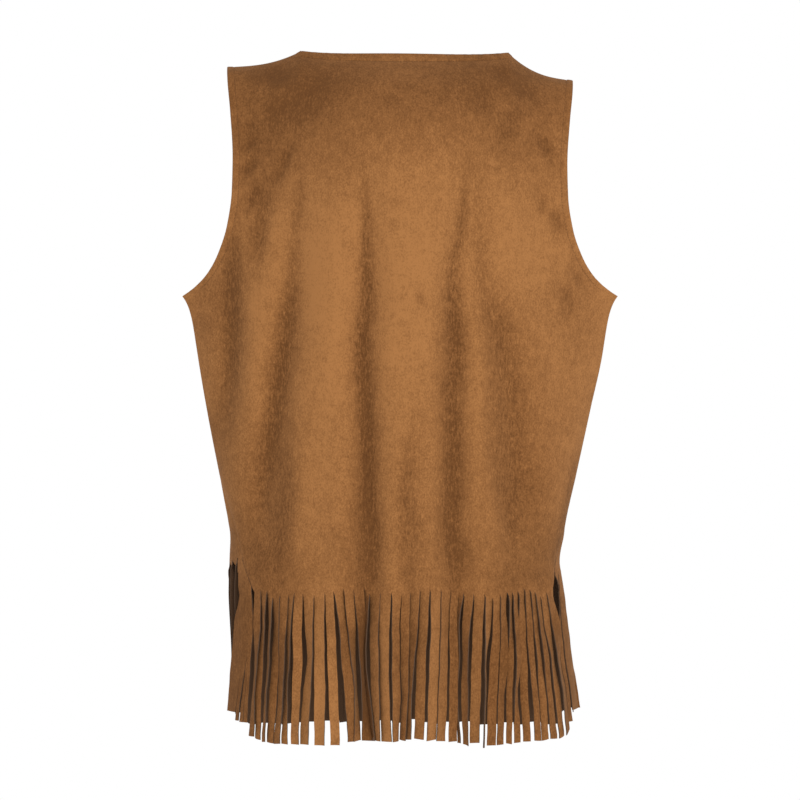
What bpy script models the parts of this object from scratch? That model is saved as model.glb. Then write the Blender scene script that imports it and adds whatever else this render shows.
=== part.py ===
"""Sleeveless suede-look gilet with a cut fringe, filled out as it hangs on a wearer.

Metres, +Z up. The origin lies between the two neck points, where the shoulders carry the garment.
The wearer faces +Y, so the back panel lies towards -Y and the wearer's right side is +X.
A drop is a distance below the neck points.
"""

import math
from collections import namedtuple

import bmesh
import bpy
import numpy as np

# Driving sizes of the cloth
CLOTH_THICKNESS = 0.0016
SEAM_GAP = 0.0003
SHOULDER_WALL = (0.0, 0.0, 1.3)
FRONT_HALF_GAP = 0.006
UNDERARM_DROP = 0.275

# Shoulder line, from the neck point to the shoulder tip, on each side
Shoulder = namedtuple("Shoulder", "sign neck_x neck_drop tip_x tip_drop sag")
SHOULDERS = {
    "left": Shoulder(-1, 0.1126, -0.001, 0.1955, 0.0147, 0.0056),
    "right": Shoulder(+1, 0.1228, 0.001, 0.1955, 0.0300, 0.0086),
}
NECK_POINT_Y = -0.020
BACK_NECK_Y = -0.046
BACK_NECK_DIP = 0.0048

# Rings of the filled-out tube below the armholes, continued through the fringe.
# Shift moves a ring sideways. Roundness is 0 for a lens with sharp sides and 1 for an ellipse.
Ring = namedtuple("Ring", "drop half_width shift back_depth front_depth roundness")
RINGS = (
    Ring(0.275, 0.2360, 0.0000, 0.1030, 0.098, 0.25),
    Ring(0.303, 0.2342, 0.0000, 0.1027, 0.098, 0.29),
    Ring(0.337, 0.2304, 0.0000, 0.1020, 0.098, 0.37),
    Ring(0.405, 0.2176, -0.0016, 0.1012, 0.099, 0.57),
    Ring(0.474, 0.2034, -0.0024, 0.1015, 0.101, 0.77),
    Ring(0.542, 0.1893, -0.0028, 0.1040, 0.105, 0.90),
    Ring(0.575, 0.1862, -0.0062, 0.1060, 0.107, 0.95),
    Ring(0.620, 0.1922, -0.0024, 0.1090, 0.110, 0.98),
    Ring(0.690, 0.1955, 0.0000, 0.1130, 0.113, 1.00),
    Ring(0.775, 0.2010, 0.0028, 0.1170, 0.116, 1.00),
)

# Pointed underarms: how far they reach past the rings, and over what drop that dies away
UNDERARM_REACH = 0.0113
UNDERARM_FADE = 0.016

# How far the armholes hollow out the yoke's width.
# An edge's own curve is felt only close to it at the underarm, and further in at the shoulder.
BACK_HOLLOW = 0.018
FRONT_HOLLOW = 0.036
UNDERARM_EDGE_POWER = 4.0
SHOULDER_EDGE_POWER = 1.8

# Armhole edges by rise, from 0 at the underarm to 1 at the shoulder tip.
# Widths are multiples of the half width at the tip.
Armhole = namedtuple("Armhole", "rise back_y front_y back_width front_width")
ARMHOLE = (
    Armhole(0.00, 0.000, 0.000, 1.265, 1.265),
    Armhole(0.03, -0.006, 0.008, 1.200, 1.185),
    Armhole(0.10, -0.018, 0.022, 1.108, 1.065),
    Armhole(0.18, -0.027, 0.034, 1.047, 0.985),
    Armhole(0.30, -0.036, 0.046, 0.996, 0.915),
    Armhole(0.45, -0.042, 0.052, 0.970, 0.875),
    Armhole(0.60, -0.043, 0.053, 0.967, 0.865),
    Armhole(0.80, -0.038, 0.046, 0.978, 0.895),
    Armhole(0.92, -0.027, 0.030, 0.990, 0.950),
    Armhole(0.97, -0.016, 0.017, 0.996, 0.978),
    Armhole(1.00, 0.000, 0.000, 1.000, 1.000),
)

# Middle of the back and inner edge of a front by rise, from the underarm level to the neck.
# Neck share is 0 on the front edge and 1 at the neck point.
Yoke = namedtuple("Yoke", "rise spine_y front_y neck_share")
YOKE = (
    Yoke(0.00, -0.103, 0.098, 0.00),
    Yoke(0.24, -0.104, 0.096, 0.00),
    Yoke(0.30, -0.104, 0.095, 0.02),
    Yoke(0.50, -0.102, 0.088, 0.29),
    Yoke(0.70, -0.096, 0.073, 0.61),
    Yoke(0.85, -0.084, 0.049, 0.85),
    Yoke(0.94, -0.068, 0.021, 0.96),
    Yoke(1.00, -0.046, -0.020, 1.00),
)

# Large folds: troughs that start at one point and run down to another.
Fold = namedtuple("Fold", "start_drop start_x end_drop end_x half_width depth")
BACK_FOLDS = (
    Fold(0.140, -0.180, 0.470, -0.192, 0.017, 0.007),
    Fold(0.120, -0.108, 0.790, -0.158, 0.021, 0.013),
    Fold(0.090, -0.040, 0.790, -0.039, 0.019, 0.015),
    Fold(0.390, 0.010, 0.790, 0.013, 0.015, 0.006),
    Fold(0.120, 0.066, 0.790, 0.061, 0.019, 0.014),
    Fold(0.165, 0.090, 0.790, 0.164, 0.020, 0.011),
)
FRONT_FOLDS = (
    Fold(0.160, -0.150, 0.790, -0.150, 0.022, 0.012),
    Fold(0.230, -0.082, 0.790, -0.072, 0.020, 0.013),
    Fold(0.250, 0.060, 0.790, 0.060, 0.020, 0.013),
    Fold(0.160, 0.142, 0.790, 0.137, 0.022, 0.012),
)
FOLD_FADE_LENGTH = 0.240
SEAM_FADE_SHARE = 0.10

# Side seams drift towards the back as they near the fringe, in quarter turns
SEAM_DRIFT = 0.26
SEAM_DRIFT_START = 0.420

# Fringe: strips cut up from the hem, one wide strip on each front beside the side seam
BACK_ROOT_DROP = 0.612
SIDE_ROOT_DROP = 0.575
FRONT_ROOT_DROP = 0.600
STRIP_PITCH = 0.0113
WIDE_STRIP = 0.028
SLIT_WIDTH = 0.0006
BACKING_HEIGHT = 0.004
STRIP_LEVELS = (0.0, 0.3, 0.65, 1.0)
STRIP_TWIST = math.radians(11)
STRIP_SWAY = 0.0035
STRIP_PHASE = 2.4
SWAY_PHASE = 4.1
Tip = namedtuple("Tip", "turn drop")
FRINGE_TIPS = (
    Tip(0.00, 0.7700),
    Tip(0.50, 0.7715),
    Tip(0.66, 0.7690),
    Tip(0.80, 0.7560),
    Tip(1.00, 0.7490),
    Tip(1.40, 0.7600),
    Tip(2.00, 0.7710),
)

# Fineness of the panels
SHOULDER_COLUMNS = 10
NECK_COLUMNS = 28
FRONT_COLUMNS = 20
BODY_ROWS = 13
BACK_TAIL_ROWS = 2
YOKE_ROWS = 12
BODY_ROW_EASE = 1.3
HEM_SAMPLES = 600

SUEDE_COLOUR = (0.37, 0.17, 0.06, 1.0)
SUEDE_ROUGHNESS = 0.95


# Curves through the tables


def smooth(where, stops, values):
    """Reads a table on a curve that passes through its values and never overshoots them."""
    stops, values = np.asarray(stops, float), np.asarray(values, float)
    steps = np.diff(stops)
    slopes = np.diff(values) / steps
    before, after = slopes[:-1], slopes[1:]
    same_way = before * after > 0
    total = np.where(same_way, before + after, 1.0)
    inner = np.where(same_way, 2 * before * after / total, 0.0)
    tangents = np.concatenate([slopes[:1], inner, slopes[-1:]])
    where = np.clip(where, stops[0], stops[-1])
    span = np.clip(np.searchsorted(stops, where, side="right") - 1, 0, len(steps) - 1)
    length = steps[span]
    part = (where - stops[span]) / length
    value = values[span] * (1 + 2 * part) * (1 - part) ** 2
    value += values[span + 1] * part**2 * (3 - 2 * part)
    value += length * tangents[span] * part * (1 - part) ** 2
    return value + length * tangents[span + 1] * part**2 * (part - 1)


def column(table, name):
    return [getattr(row, name) for row in table]


def read(table, key, name, where):
    return smooth(where, column(table, key), column(table, name))


def ease(value):
    """0 below 0, 1 above 1 and a soft step between."""
    part = np.clip(value, 0.0, 1.0)
    return part * part * (3 - 2 * part)


def spread(share, roundness):
    """Sideways share of a ring's half width, for a share of the quarter turn."""
    return (1 - roundness) * share + roundness * np.sin(share * math.pi / 2)


def edge_weight(share, rise):
    """How strongly the edge's curve is felt, from 0 in the middle to 1 on the edge."""
    power = UNDERARM_EDGE_POWER + (SHOULDER_EDGE_POWER - UNDERARM_EDGE_POWER) * rise
    return share**power


def sideways(share, rise, inner_x, half_width, edge_x, roundness):
    """Distance from the middle: smooth across a panel, following the edge only close to it."""
    body = inner_x + (half_width - inner_x) * spread(share, roundness)
    return body + (edge_x - half_width) * edge_weight(share, rise)


def depth(share, rise, middle_y, edge_y):
    """Front-to-back place: an arch over the panel, following the edge only close to it."""
    return middle_y * np.cos(share * math.pi / 2) + edge_y * edge_weight(share, rise)


# Rings of the body


def seam_turn(drop):
    """Where the side seam lies, in quarter turns from the middle of the back."""
    hang = (drop - SEAM_DRIFT_START) / (BACK_ROOT_DROP - SEAM_DRIFT_START)
    return 1 - SEAM_DRIFT * ease(hang)


def ring_points(turn, drop):
    """Points of the tube: turn is 0 at the middle of the back, 1 at a side and 2 at the front."""
    turn, drop = np.broadcast_arrays(turn, drop)
    around = np.abs(turn)
    at_back = around <= 1
    share = np.where(at_back, around, 2 - around)
    half_width = read(RINGS, "drop", "half_width", drop)
    edge_x = half_width + UNDERARM_REACH * np.exp((UNDERARM_DROP - drop) / UNDERARM_FADE)
    inner_x = np.where(at_back, 0.0, FRONT_HALF_GAP)
    roundness = read(RINGS, "drop", "roundness", drop)
    out = sideways(share, 0.0, inner_x, half_width, edge_x, roundness)
    x = read(RINGS, "drop", "shift", drop) + np.sign(turn) * out
    back_depth = read(RINGS, "drop", "back_depth", drop)
    front_depth = read(RINGS, "drop", "front_depth", drop)
    y = depth(share, 0.0, np.where(at_back, -back_depth, front_depth), 0.0)
    return np.stack([x, y, -drop], axis=-1)


def grid_normals(points):
    """Unit normals of a grid of points, pointing away from the wearer."""
    across = np.gradient(points, axis=1)
    along = np.gradient(points, axis=0)
    normals = np.cross(across, along)
    normals /= np.linalg.norm(normals, axis=-1, keepdims=True)
    outwards = np.sum(normals[..., :2] * points[..., :2])
    return normals * np.sign(outwards)


def levelled(normals):
    """The same directions laid level."""
    flat = normals * (1.0, 1.0, 0.0)
    return flat / np.linalg.norm(flat, axis=-1, keepdims=True)


def fold_offset(points, folds):
    """How far the folds sink each point, in metres."""
    x, drop = points[..., 0], -points[..., 2]
    sunk = np.zeros_like(x)
    for fold in folds:
        run = np.clip((drop - fold.start_drop) / (fold.end_drop - fold.start_drop), 0, 1)
        middle = fold.start_x + (fold.end_x - fold.start_x) * run
        starting = ease((drop - fold.start_drop) / FOLD_FADE_LENGTH)
        ending = ease((fold.end_drop - drop) / FOLD_FADE_LENGTH * 2)
        hem_reaches = fold.end_drop > BACK_ROOT_DROP
        strength = starting if hem_reaches else starting * ending
        sunk += fold.depth * strength * np.exp(-(((x - middle) / fold.half_width) ** 2))
    return sunk


def seam_fade(share):
    """0 on a side seam, so that both panels meet there, and 1 further in."""
    return ease((1 - np.abs(share)) / SEAM_FADE_SHARE)


def folded(points, share, folds):
    """Sinks a panel's folds into its smooth form, each point at its own height."""
    sunk = fold_offset(points, folds) * seam_fade(share)
    return points - levelled(grid_normals(points)) * sunk[..., None]


# Panels


def shoulder_seam(shoulder, part):
    """Points of a shoulder seam: part is 0 at the neck point and 1 at the tip."""
    x = shoulder.neck_x + (shoulder.tip_x - shoulder.neck_x) * part
    drop = shoulder.neck_drop + (shoulder.tip_drop - shoulder.neck_drop) * part
    drop = drop + shoulder.sag * np.sin(math.pi * part**0.65)
    return np.stack([shoulder.sign * x, NECK_POINT_Y * (1 - part), -drop], axis=-1)


def body_drops():
    """Row heights from the fringe's side roots up to the underarm, closer near the underarm."""
    part = np.linspace(1, 0, BODY_ROWS + 1) ** BODY_ROW_EASE
    return UNDERARM_DROP + (SIDE_ROOT_DROP - UNDERARM_DROP) * part


def yoke_rises():
    """Row heights from the underarm up to the shoulder, closer at both ends."""
    part = np.linspace(0, 1, YOKE_ROWS + 1)[1:]
    return 0.5 * part + 0.25 * (1 - np.cos(math.pi * part))


def yoke_half_width(tip_x, hollow, rise):
    """Half width of a yoke between the underarm and the shoulder tip."""
    underarm = RINGS[0].half_width
    return underarm + (tip_x - underarm) * rise - hollow * np.sin(math.pi * rise) ** 2


def fitted_to_top(yoke, rises, top):
    """Eases the last rows of a yoke onto its top edge."""
    weight = rises[:, None, None] ** 4
    return yoke + (top - yoke[-1]) * weight


def back_columns():
    """Column places from -1 at the left edge to 1 at the right edge, with one at each neck point."""
    left, right = SHOULDERS["left"], SHOULDERS["right"]
    left_neck, right_neck = -left.neck_x / left.tip_x, right.neck_x / right.tip_x
    parts = (
        np.linspace(-1, left_neck, SHOULDER_COLUMNS + 1)[:-1],
        np.linspace(left_neck, right_neck, NECK_COLUMNS + 1)[:-1],
        np.linspace(right_neck, 1, SHOULDER_COLUMNS + 1),
    )
    return np.concatenate(parts)


def back_top(places):
    """The back's top edge: two shoulder seams and the neck between them."""
    left, right = SHOULDERS["left"], SHOULDERS["right"]
    necks = (-left.neck_x / left.tip_x, right.neck_x / right.tip_x)
    top = []
    for place in places:
        shoulder = left if place < 0 else right
        neck = shoulder.neck_x / shoulder.tip_x
        if abs(place) >= neck:
            top.append(shoulder_seam(shoulder, (abs(place) - neck) / (1 - neck)))
            continue
        inward = abs(place) / neck
        y = NECK_POINT_Y + (BACK_NECK_Y - NECK_POINT_Y) * (1 - inward**2)
        drop = np.interp(place, necks, (left.neck_drop, right.neck_drop))
        drop += BACK_NECK_DIP * (1 - inward**4)
        top.append((place * shoulder.tip_x, y, -drop))
    return np.array(top)


def back_panel():
    """Middle surface of the back, from the fringe's roots up to the shoulders."""
    places = back_columns()
    tail = np.linspace(BACK_ROOT_DROP, SIDE_ROOT_DROP, BACK_TAIL_ROWS + 1)[:-1]
    drops = np.concatenate([tail, body_drops()])[:, None]
    body = ring_points(places * seam_turn(drops), drops)
    rises = yoke_rises()
    rise = rises[:, None]
    share = np.abs(places)
    tips = np.where(places < 0, SHOULDERS["left"].tip_x, SHOULDERS["right"].tip_x)
    half_width = yoke_half_width(tips, BACK_HOLLOW, rise)
    edge_x = tips * read(ARMHOLE, "rise", "back_width", rise)
    roundness = RINGS[0].roundness * (1 - rise)
    x = np.sign(places) * sideways(share, rise, 0.0, half_width, edge_x, roundness)
    spine_y = read(YOKE, "rise", "spine_y", rise)
    y = depth(share, rise, spine_y, read(ARMHOLE, "rise", "back_y", rise))
    top = back_top(places)
    z = -UNDERARM_DROP + (top[:, 2] + UNDERARM_DROP) * rise
    yoke = fitted_to_top(np.stack([x, y, z], axis=-1), rises, top)
    return folded(np.concatenate([body, yoke]), share, BACK_FOLDS)


def front_root_drops(places):
    """Height of a front's lower edge, from 0 at the front edge to 1 at the side seam."""
    return SIDE_ROOT_DROP + (FRONT_ROOT_DROP - SIDE_ROOT_DROP) * np.cos(places * math.pi / 2)


def front_panel(shoulder):
    """Middle surface of one front, from its front edge out to the side."""
    places = np.linspace(0, 1, FRONT_COLUMNS + 1)
    drops = body_drops()[:, None]
    hem_part = ((drops - UNDERARM_DROP) / (SIDE_ROOT_DROP - UNDERARM_DROP)) ** 2
    lowered = (front_root_drops(places) - SIDE_ROOT_DROP) * hem_part
    turn = 2 - places * (2 - seam_turn(drops))
    body = ring_points(shoulder.sign * turn, drops + lowered)
    rises = yoke_rises()
    rise = rises[:, None]
    neck_share = read(YOKE, "rise", "neck_share", rise)
    inner_x = FRONT_HALF_GAP + (shoulder.neck_x - FRONT_HALF_GAP) * neck_share
    half_width = yoke_half_width(shoulder.tip_x, FRONT_HOLLOW, rise)
    edge_x = shoulder.tip_x * read(ARMHOLE, "rise", "front_width", rise)
    roundness = RINGS[0].roundness * (1 - rise)
    x = shoulder.sign * sideways(places, rise, inner_x, half_width, edge_x, roundness)
    inner_y = read(YOKE, "rise", "front_y", rise)
    y = depth(places, rise, inner_y, read(ARMHOLE, "rise", "front_y", rise))
    top = shoulder_seam(shoulder, places)
    z = -UNDERARM_DROP + (top[:, 2] + UNDERARM_DROP) * rise
    yoke = fitted_to_top(np.stack([x, y, z], axis=-1), rises, top)
    return folded(np.concatenate([body, yoke]), places, FRONT_FOLDS)


def panel_walls(points):
    """Wall directions of a panel, level along its lower edge, where the fringe hangs on."""
    walls = grid_normals(points)
    walls[0] = levelled(walls[0])
    return walls


def mitred(first, second):
    """Shared wall directions along a seam, so that two walls end on one face."""
    total = first + second
    length = np.linalg.norm(total, axis=-1, keepdims=True)
    return total / length * np.minimum(2 / length, 2.0)


def draw_back(edge, neighbour):
    """Moves a seam edge in place by half the seam gap, towards the panel's next line of points."""
    away = neighbour - edge
    edge += away / np.linalg.norm(away, axis=-1, keepdims=True) * SEAM_GAP / 2


# Fringe


def fringe_form(turns, drops, seam_end, folds):
    """The cloth that the strips are cut from, as a grid of drops by turns."""
    at_back = folds is BACK_FOLDS
    share = turns / seam_end if at_back else (2 - np.abs(turns)) / (2 - seam_end)
    return folded(ring_points(turns, drops), share, folds)


def cut_turns(start, end, root_drop, seam_end, folds, wide_strips):
    """Measures the root line and splits it into strips: the turns at which the cuts lie."""
    turns = np.linspace(start, end, HEM_SAMPLES)
    drops = np.array([[root_drop - SEAM_GAP], [root_drop]])
    line = fringe_form(turns, drops, seam_end, folds)[1]
    length = np.concatenate([[0], np.cumsum(np.linalg.norm(np.diff(line, axis=0), axis=1))])
    narrow = round((length[-1] - sum(wide_strips)) / STRIP_PITCH)
    widths = [*wide_strips, *[STRIP_PITCH] * narrow]
    cuts = np.concatenate([[0], np.cumsum(widths)])
    return np.interp(cuts / cuts[-1] * length[-1], length, turns)


def fringe_strips(cuts, root_drops, seam_end, folds):
    """Middle points and wall directions of a fringe: two columns for each strip."""
    edges = np.stack([cuts[:-1], cuts[1:]], axis=1).ravel()
    roots = np.stack([root_drops[:-1], root_drops[1:]], axis=1).ravel()
    strip_middles = np.repeat((cuts[:-1] + cuts[1:]) / 2, 2)
    tips = read(FRINGE_TIPS, "turn", "drop", np.abs(strip_middles))
    backing_top = roots + SEAM_GAP
    strip_root = backing_top + BACKING_HEIGHT
    part = np.array(STRIP_LEVELS)[:, None]
    drops = np.concatenate([backing_top[None], strip_root + (tips - strip_root) * part])
    form = fringe_form(np.broadcast_to(edges, drops.shape), drops, seam_end, folds)
    normals = levelled(grid_normals(form))
    hang = np.concatenate([[0.0], STRIP_LEVELS])[:, None] ** 1.5
    for strip in range(len(cuts) - 1):
        left, right = 2 * strip, 2 * strip + 1
        middle = (form[:, left] + form[:, right]) / 2
        facing = (normals[:, left] + normals[:, right]) / 2
        across = form[:, right] - form[:, left]
        half_width = (np.linalg.norm(across[1]) - SLIT_WIDTH) / 2
        across /= np.linalg.norm(across, axis=1, keepdims=True)
        twist = STRIP_TWIST * math.sin(STRIP_PHASE * strip) * hang
        sway = STRIP_SWAY * math.cos(SWAY_PHASE * strip) * hang
        turned = across * np.cos(twist) + facing * np.sin(twist)
        form[:, left] = middle + facing * sway - turned * half_width
        form[:, right] = middle + facing * sway + turned * half_width
        normals[:, left] = normals[:, right] = facing * np.cos(twist) - across * np.sin(twist)
    return form, normals


# Solids


def suede_material(name):
    material = bpy.data.materials.new(name)
    material.use_nodes = True
    shader = material.node_tree.nodes["Principled BSDF"]
    shader.inputs["Base Color"].default_value = SUEDE_COLOUR
    shader.inputs["Roughness"].default_value = SUEDE_ROUGHNESS
    shader.inputs["Metallic"].default_value = 0.0
    return material


def add_solid(name, points, faces):
    """Makes one closed object, with its faces pointing out."""
    mesh = bpy.data.meshes.new(name)
    mesh.from_pydata(points.tolist(), [], faces)
    shape = bmesh.new()
    shape.from_mesh(mesh)
    bmesh.ops.recalc_face_normals(shape, faces=shape.faces)
    shape.to_mesh(mesh)
    shape.free()
    mesh.materials.append(suede_material(name))
    mesh.shade_smooth()
    solid = bpy.data.objects.new(name, mesh)
    bpy.context.scene.collection.objects.link(solid)
    return solid


def wall_points(middle, normals):
    half = normals * CLOTH_THICKNESS / 2
    return np.concatenate([(middle + half).reshape(-1, 3), (middle - half).reshape(-1, 3)])


def add_panel(name, middle, normals):
    """A cloth wall over a grid of points, with a rim all round."""
    rows, columns = middle.shape[:2]
    inner = rows * columns
    faces = []
    for row in range(rows - 1):
        for col in range(columns - 1):
            corner = row * columns + col
            quad = (corner, corner + 1, corner + columns + 1, corner + columns)
            faces.append(quad)
            faces.append(tuple(inner + point for point in reversed(quad)))
    index = np.arange(inner).reshape(rows, columns)
    rim = [*index[0], *index[1:, -1], *index[-1, -2::-1], *index[-2:0:-1, 0]]
    for here, following in zip(rim, rim[1:] + rim[:1]):
        faces.append((int(here), int(inner + here), int(inner + following), int(following)))
    return add_solid(name, wall_points(middle, normals), faces)


def add_fringe(name, middle, normals):
    """A narrow backing with the strips hanging from it, as one solid."""
    levels, columns = middle.shape[:2]
    inner = levels * columns
    faces = []

    def both(level, col):
        """The outer and inner point at one place."""
        outer_point = level * columns + col
        return outer_point, inner + outer_point

    def bridge(first, second):
        """One face between two places, from the outer to the inner surface."""
        (outer_a, inner_a), (outer_b, inner_b) = both(*first), both(*second)
        faces.append((outer_a, outer_b, inner_b, inner_a))

    def skin(level, col):
        """The outer and inner face of one stretch between two columns."""
        corners = ((level, col), (level, col + 1), (level + 1, col + 1), (level + 1, col))
        outer_face, inner_face = zip(*(both(*corner) for corner in corners))
        faces.append(outer_face)
        faces.append(inner_face[::-1])

    for col in range(columns - 1):
        is_strip = col % 2 == 0
        skin(0, col)
        bridge((0, col), (0, col + 1))
        if not is_strip:
            bridge((1, col), (1, col + 1))
            continue
        for level in range(1, levels - 1):
            skin(level, col)
            bridge((level, col), (level + 1, col))
            bridge((level, col + 1), (level + 1, col + 1))
        bridge((levels - 1, col), (levels - 1, col + 1))
    bridge((0, 0), (1, 0))
    bridge((0, columns - 1), (1, columns - 1))
    return add_solid(name, wall_points(middle, normals), faces)


def build_panels():
    """The back and the two fronts, parted at the side and shoulder seams."""
    back = back_panel()
    back_walls = panel_walls(back)
    seam_rows = slice(BACK_TAIL_ROWS, BACK_TAIL_ROWS + BODY_ROWS + 1)
    front_rows = slice(0, BODY_ROWS + 1)
    for side, shoulder in SHOULDERS.items():
        is_left = side == "left"
        edge, inside = (0, 1) if is_left else (-1, -2)
        on_shoulder = slice(0, SHOULDER_COLUMNS + 1) if is_left else slice(-SHOULDER_COLUMNS - 1, None)
        front = front_panel(shoulder)
        front_walls = panel_walls(front)
        side_wall = mitred(back_walls[seam_rows, edge], front_walls[front_rows, -1])
        back_walls[seam_rows, edge] = front_walls[front_rows, -1] = side_wall
        back_walls[-1, on_shoulder] = front_walls[-1] = SHOULDER_WALL
        draw_back(front[front_rows, -1], front[front_rows, -2])
        draw_back(front[-1], front[-2])
        draw_back(back[seam_rows, edge], back[seam_rows, inside])
        draw_back(back[-1, on_shoulder], back[-2, on_shoulder])
        add_panel(f"{side}_front", front, front_walls)
    add_panel("back_panel", back, back_walls)


def build_fringes():
    """The back's fringe and one for each front, each on its own backing."""
    back_end = float(seam_turn(BACK_ROOT_DROP))
    cuts = cut_turns(-back_end, back_end, BACK_ROOT_DROP, back_end, BACK_FOLDS, ())
    back_roots = np.full(len(cuts), BACK_ROOT_DROP)
    add_fringe("back_fringe", *fringe_strips(cuts, back_roots, back_end, BACK_FOLDS))
    side_end = float(seam_turn(SIDE_ROOT_DROP))
    for side, shoulder in SHOULDERS.items():
        start, end = shoulder.sign * side_end, shoulder.sign * 2.0
        cuts = cut_turns(start, end, SIDE_ROOT_DROP, side_end, FRONT_FOLDS, (WIDE_STRIP,))
        roots = front_root_drops((2 - np.abs(cuts)) / (2 - side_end))
        add_fringe(f"{side}_fringe", *fringe_strips(cuts, roots, side_end, FRONT_FOLDS))


def main():
    for obj in list(bpy.data.objects):
        bpy.data.objects.remove(obj)
    build_panels()
    build_fringes()


main()
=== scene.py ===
# %% [markdown]
# # A fringed suede-look gilet
#
# This lesson dresses a imported CAD model of a sleeveless gilet: one back, two open fronts, and a hem
# that is cut up into a long fringe. The CAD solids are plain walls of cloth. Here each of them is made
# again as a thin, finely meshed shell with folds, turned hems, stitches, and a brushed nap that also
# carries painted shade.
#
# Everything is in metres with +Z up. The wearer faces +Y, so the back lies towards -Y and the wearer's
# right is +X. The origin lies between the two neck points, and a *drop* is a distance below them.

# %% Load the imported solids
import math
from collections import namedtuple

import bmesh
import bpy
import numpy as np
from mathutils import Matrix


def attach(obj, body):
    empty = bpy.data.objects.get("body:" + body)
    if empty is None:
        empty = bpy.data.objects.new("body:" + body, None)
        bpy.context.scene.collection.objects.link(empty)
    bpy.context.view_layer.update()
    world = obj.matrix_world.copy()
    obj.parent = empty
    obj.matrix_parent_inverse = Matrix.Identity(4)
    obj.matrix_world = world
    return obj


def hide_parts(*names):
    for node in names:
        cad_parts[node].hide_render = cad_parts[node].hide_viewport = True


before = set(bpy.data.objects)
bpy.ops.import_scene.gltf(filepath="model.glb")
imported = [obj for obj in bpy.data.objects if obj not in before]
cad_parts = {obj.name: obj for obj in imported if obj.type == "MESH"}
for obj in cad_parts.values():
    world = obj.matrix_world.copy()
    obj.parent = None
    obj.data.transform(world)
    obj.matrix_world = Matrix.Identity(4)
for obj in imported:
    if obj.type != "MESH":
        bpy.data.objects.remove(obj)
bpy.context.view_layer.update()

# %% [markdown]
# ## The form that the cloth hangs in
#
# A garment on a wearer is a tube below the arms and a yoke above them. Such a form could be sculpted,
# or draped by a simulation over a body. Tables of real sizes are used instead, because they keep the
# shells on the solids: nearly the same sizes drive the CAD source.

# %% Sizes of the cloth, the shoulders and the rings of the tube
CLOTH_THICKNESS = 0.0014
STRIP_THICKNESS = 0.0011
FRONT_HALF_GAP = 0.006
UNDERARM_DROP = 0.275
WAIST_DROP = 0.500

Shoulder = namedtuple("Shoulder", "sign neck_x neck_drop tip_x tip_drop sag")
SHOULDERS = {
    "left": Shoulder(-1, 0.1126, -0.001, 0.1955, 0.0147, 0.0054),
    "right": Shoulder(+1, 0.1228, 0.001, 0.1955, 0.0300, 0.0082),
}
LEFT, RIGHT = SHOULDERS["left"], SHOULDERS["right"]
NECK_POINT_Y, BACK_NECK_Y, BACK_NECK_DIP = -0.020, -0.046, 0.0048

Ring = namedtuple("Ring", "drop half_width shift back_depth front_depth roundness")
RINGS = (
    Ring(0.275, 0.2360, 0.0000, 0.1030, 0.098, 0.25),
    Ring(0.303, 0.2342, 0.0000, 0.1027, 0.098, 0.29),
    Ring(0.337, 0.2304, 0.0000, 0.1020, 0.098, 0.37),
    Ring(0.405, 0.2176, -0.0016, 0.1012, 0.099, 0.57),
    Ring(0.474, 0.2034, -0.0024, 0.1015, 0.101, 0.77),
    Ring(0.542, 0.1893, -0.0028, 0.1040, 0.105, 0.90),
    Ring(0.575, 0.1862, -0.0062, 0.1060, 0.107, 0.95),
    Ring(0.620, 0.1922, -0.0024, 0.1090, 0.110, 0.98),
    Ring(0.690, 0.1955, 0.0000, 0.1130, 0.113, 1.00),
    Ring(0.775, 0.2010, 0.0028, 0.1170, 0.116, 1.00),
)
print(len(RINGS), "rings from the underarm to the fringe's tips")

# %% Sizes of the armholes, the yoke and the side seams
UNDERARM_REACH, UNDERARM_FADE = 0.0113, 0.016
BACK_HOLLOW, FRONT_HOLLOW = 0.018, 0.036
UNDERARM_EDGE_POWER, SHOULDER_EDGE_POWER = 4.0, 1.8

Armhole = namedtuple("Armhole", "rise back_y front_y back_width front_width")
ARMHOLE = (
    Armhole(0.00, 0.000, 0.000, 1.265, 1.265),
    Armhole(0.03, -0.006, 0.008, 1.200, 1.185),
    Armhole(0.10, -0.018, 0.022, 1.108, 1.065),
    Armhole(0.18, -0.027, 0.034, 1.047, 0.985),
    Armhole(0.30, -0.036, 0.046, 0.992, 0.915),
    Armhole(0.45, -0.042, 0.052, 0.962, 0.875),
    Armhole(0.60, -0.043, 0.053, 0.957, 0.865),
    Armhole(0.80, -0.038, 0.046, 0.973, 0.895),
    Armhole(0.92, -0.027, 0.030, 0.990, 0.950),
    Armhole(0.97, -0.016, 0.017, 0.996, 0.978),
    Armhole(1.00, 0.000, 0.000, 1.000, 1.000),
)
Yoke = namedtuple("Yoke", "rise spine_y front_y neck_share")
YOKE = (
    Yoke(0.00, -0.103, 0.098, 0.00),
    Yoke(0.24, -0.104, 0.096, 0.00),
    Yoke(0.30, -0.104, 0.095, 0.02),
    Yoke(0.50, -0.102, 0.088, 0.29),
    Yoke(0.70, -0.096, 0.073, 0.61),
    Yoke(0.85, -0.081, 0.049, 0.85),
    Yoke(0.94, -0.060, 0.021, 0.96),
    Yoke(0.97, -0.0505, 0.003, 0.98),
    Yoke(1.00, -0.046, -0.020, 1.00),
)
SeamDrift = namedtuple("SeamDrift", "share start")
SEAM_DRIFTS = {-1: SeamDrift(0.365, 0.480), 1: SeamDrift(0.255, 0.535)}
SEAM_DRIFT_POWER = 1.2
BACK_ROOT_DROP, SIDE_ROOT_DROP, FRONT_ROOT_DROP = 0.609, 0.569, 0.600
print("the back's slits start", BACK_ROOT_DROP, "m below the neck points")


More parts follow.
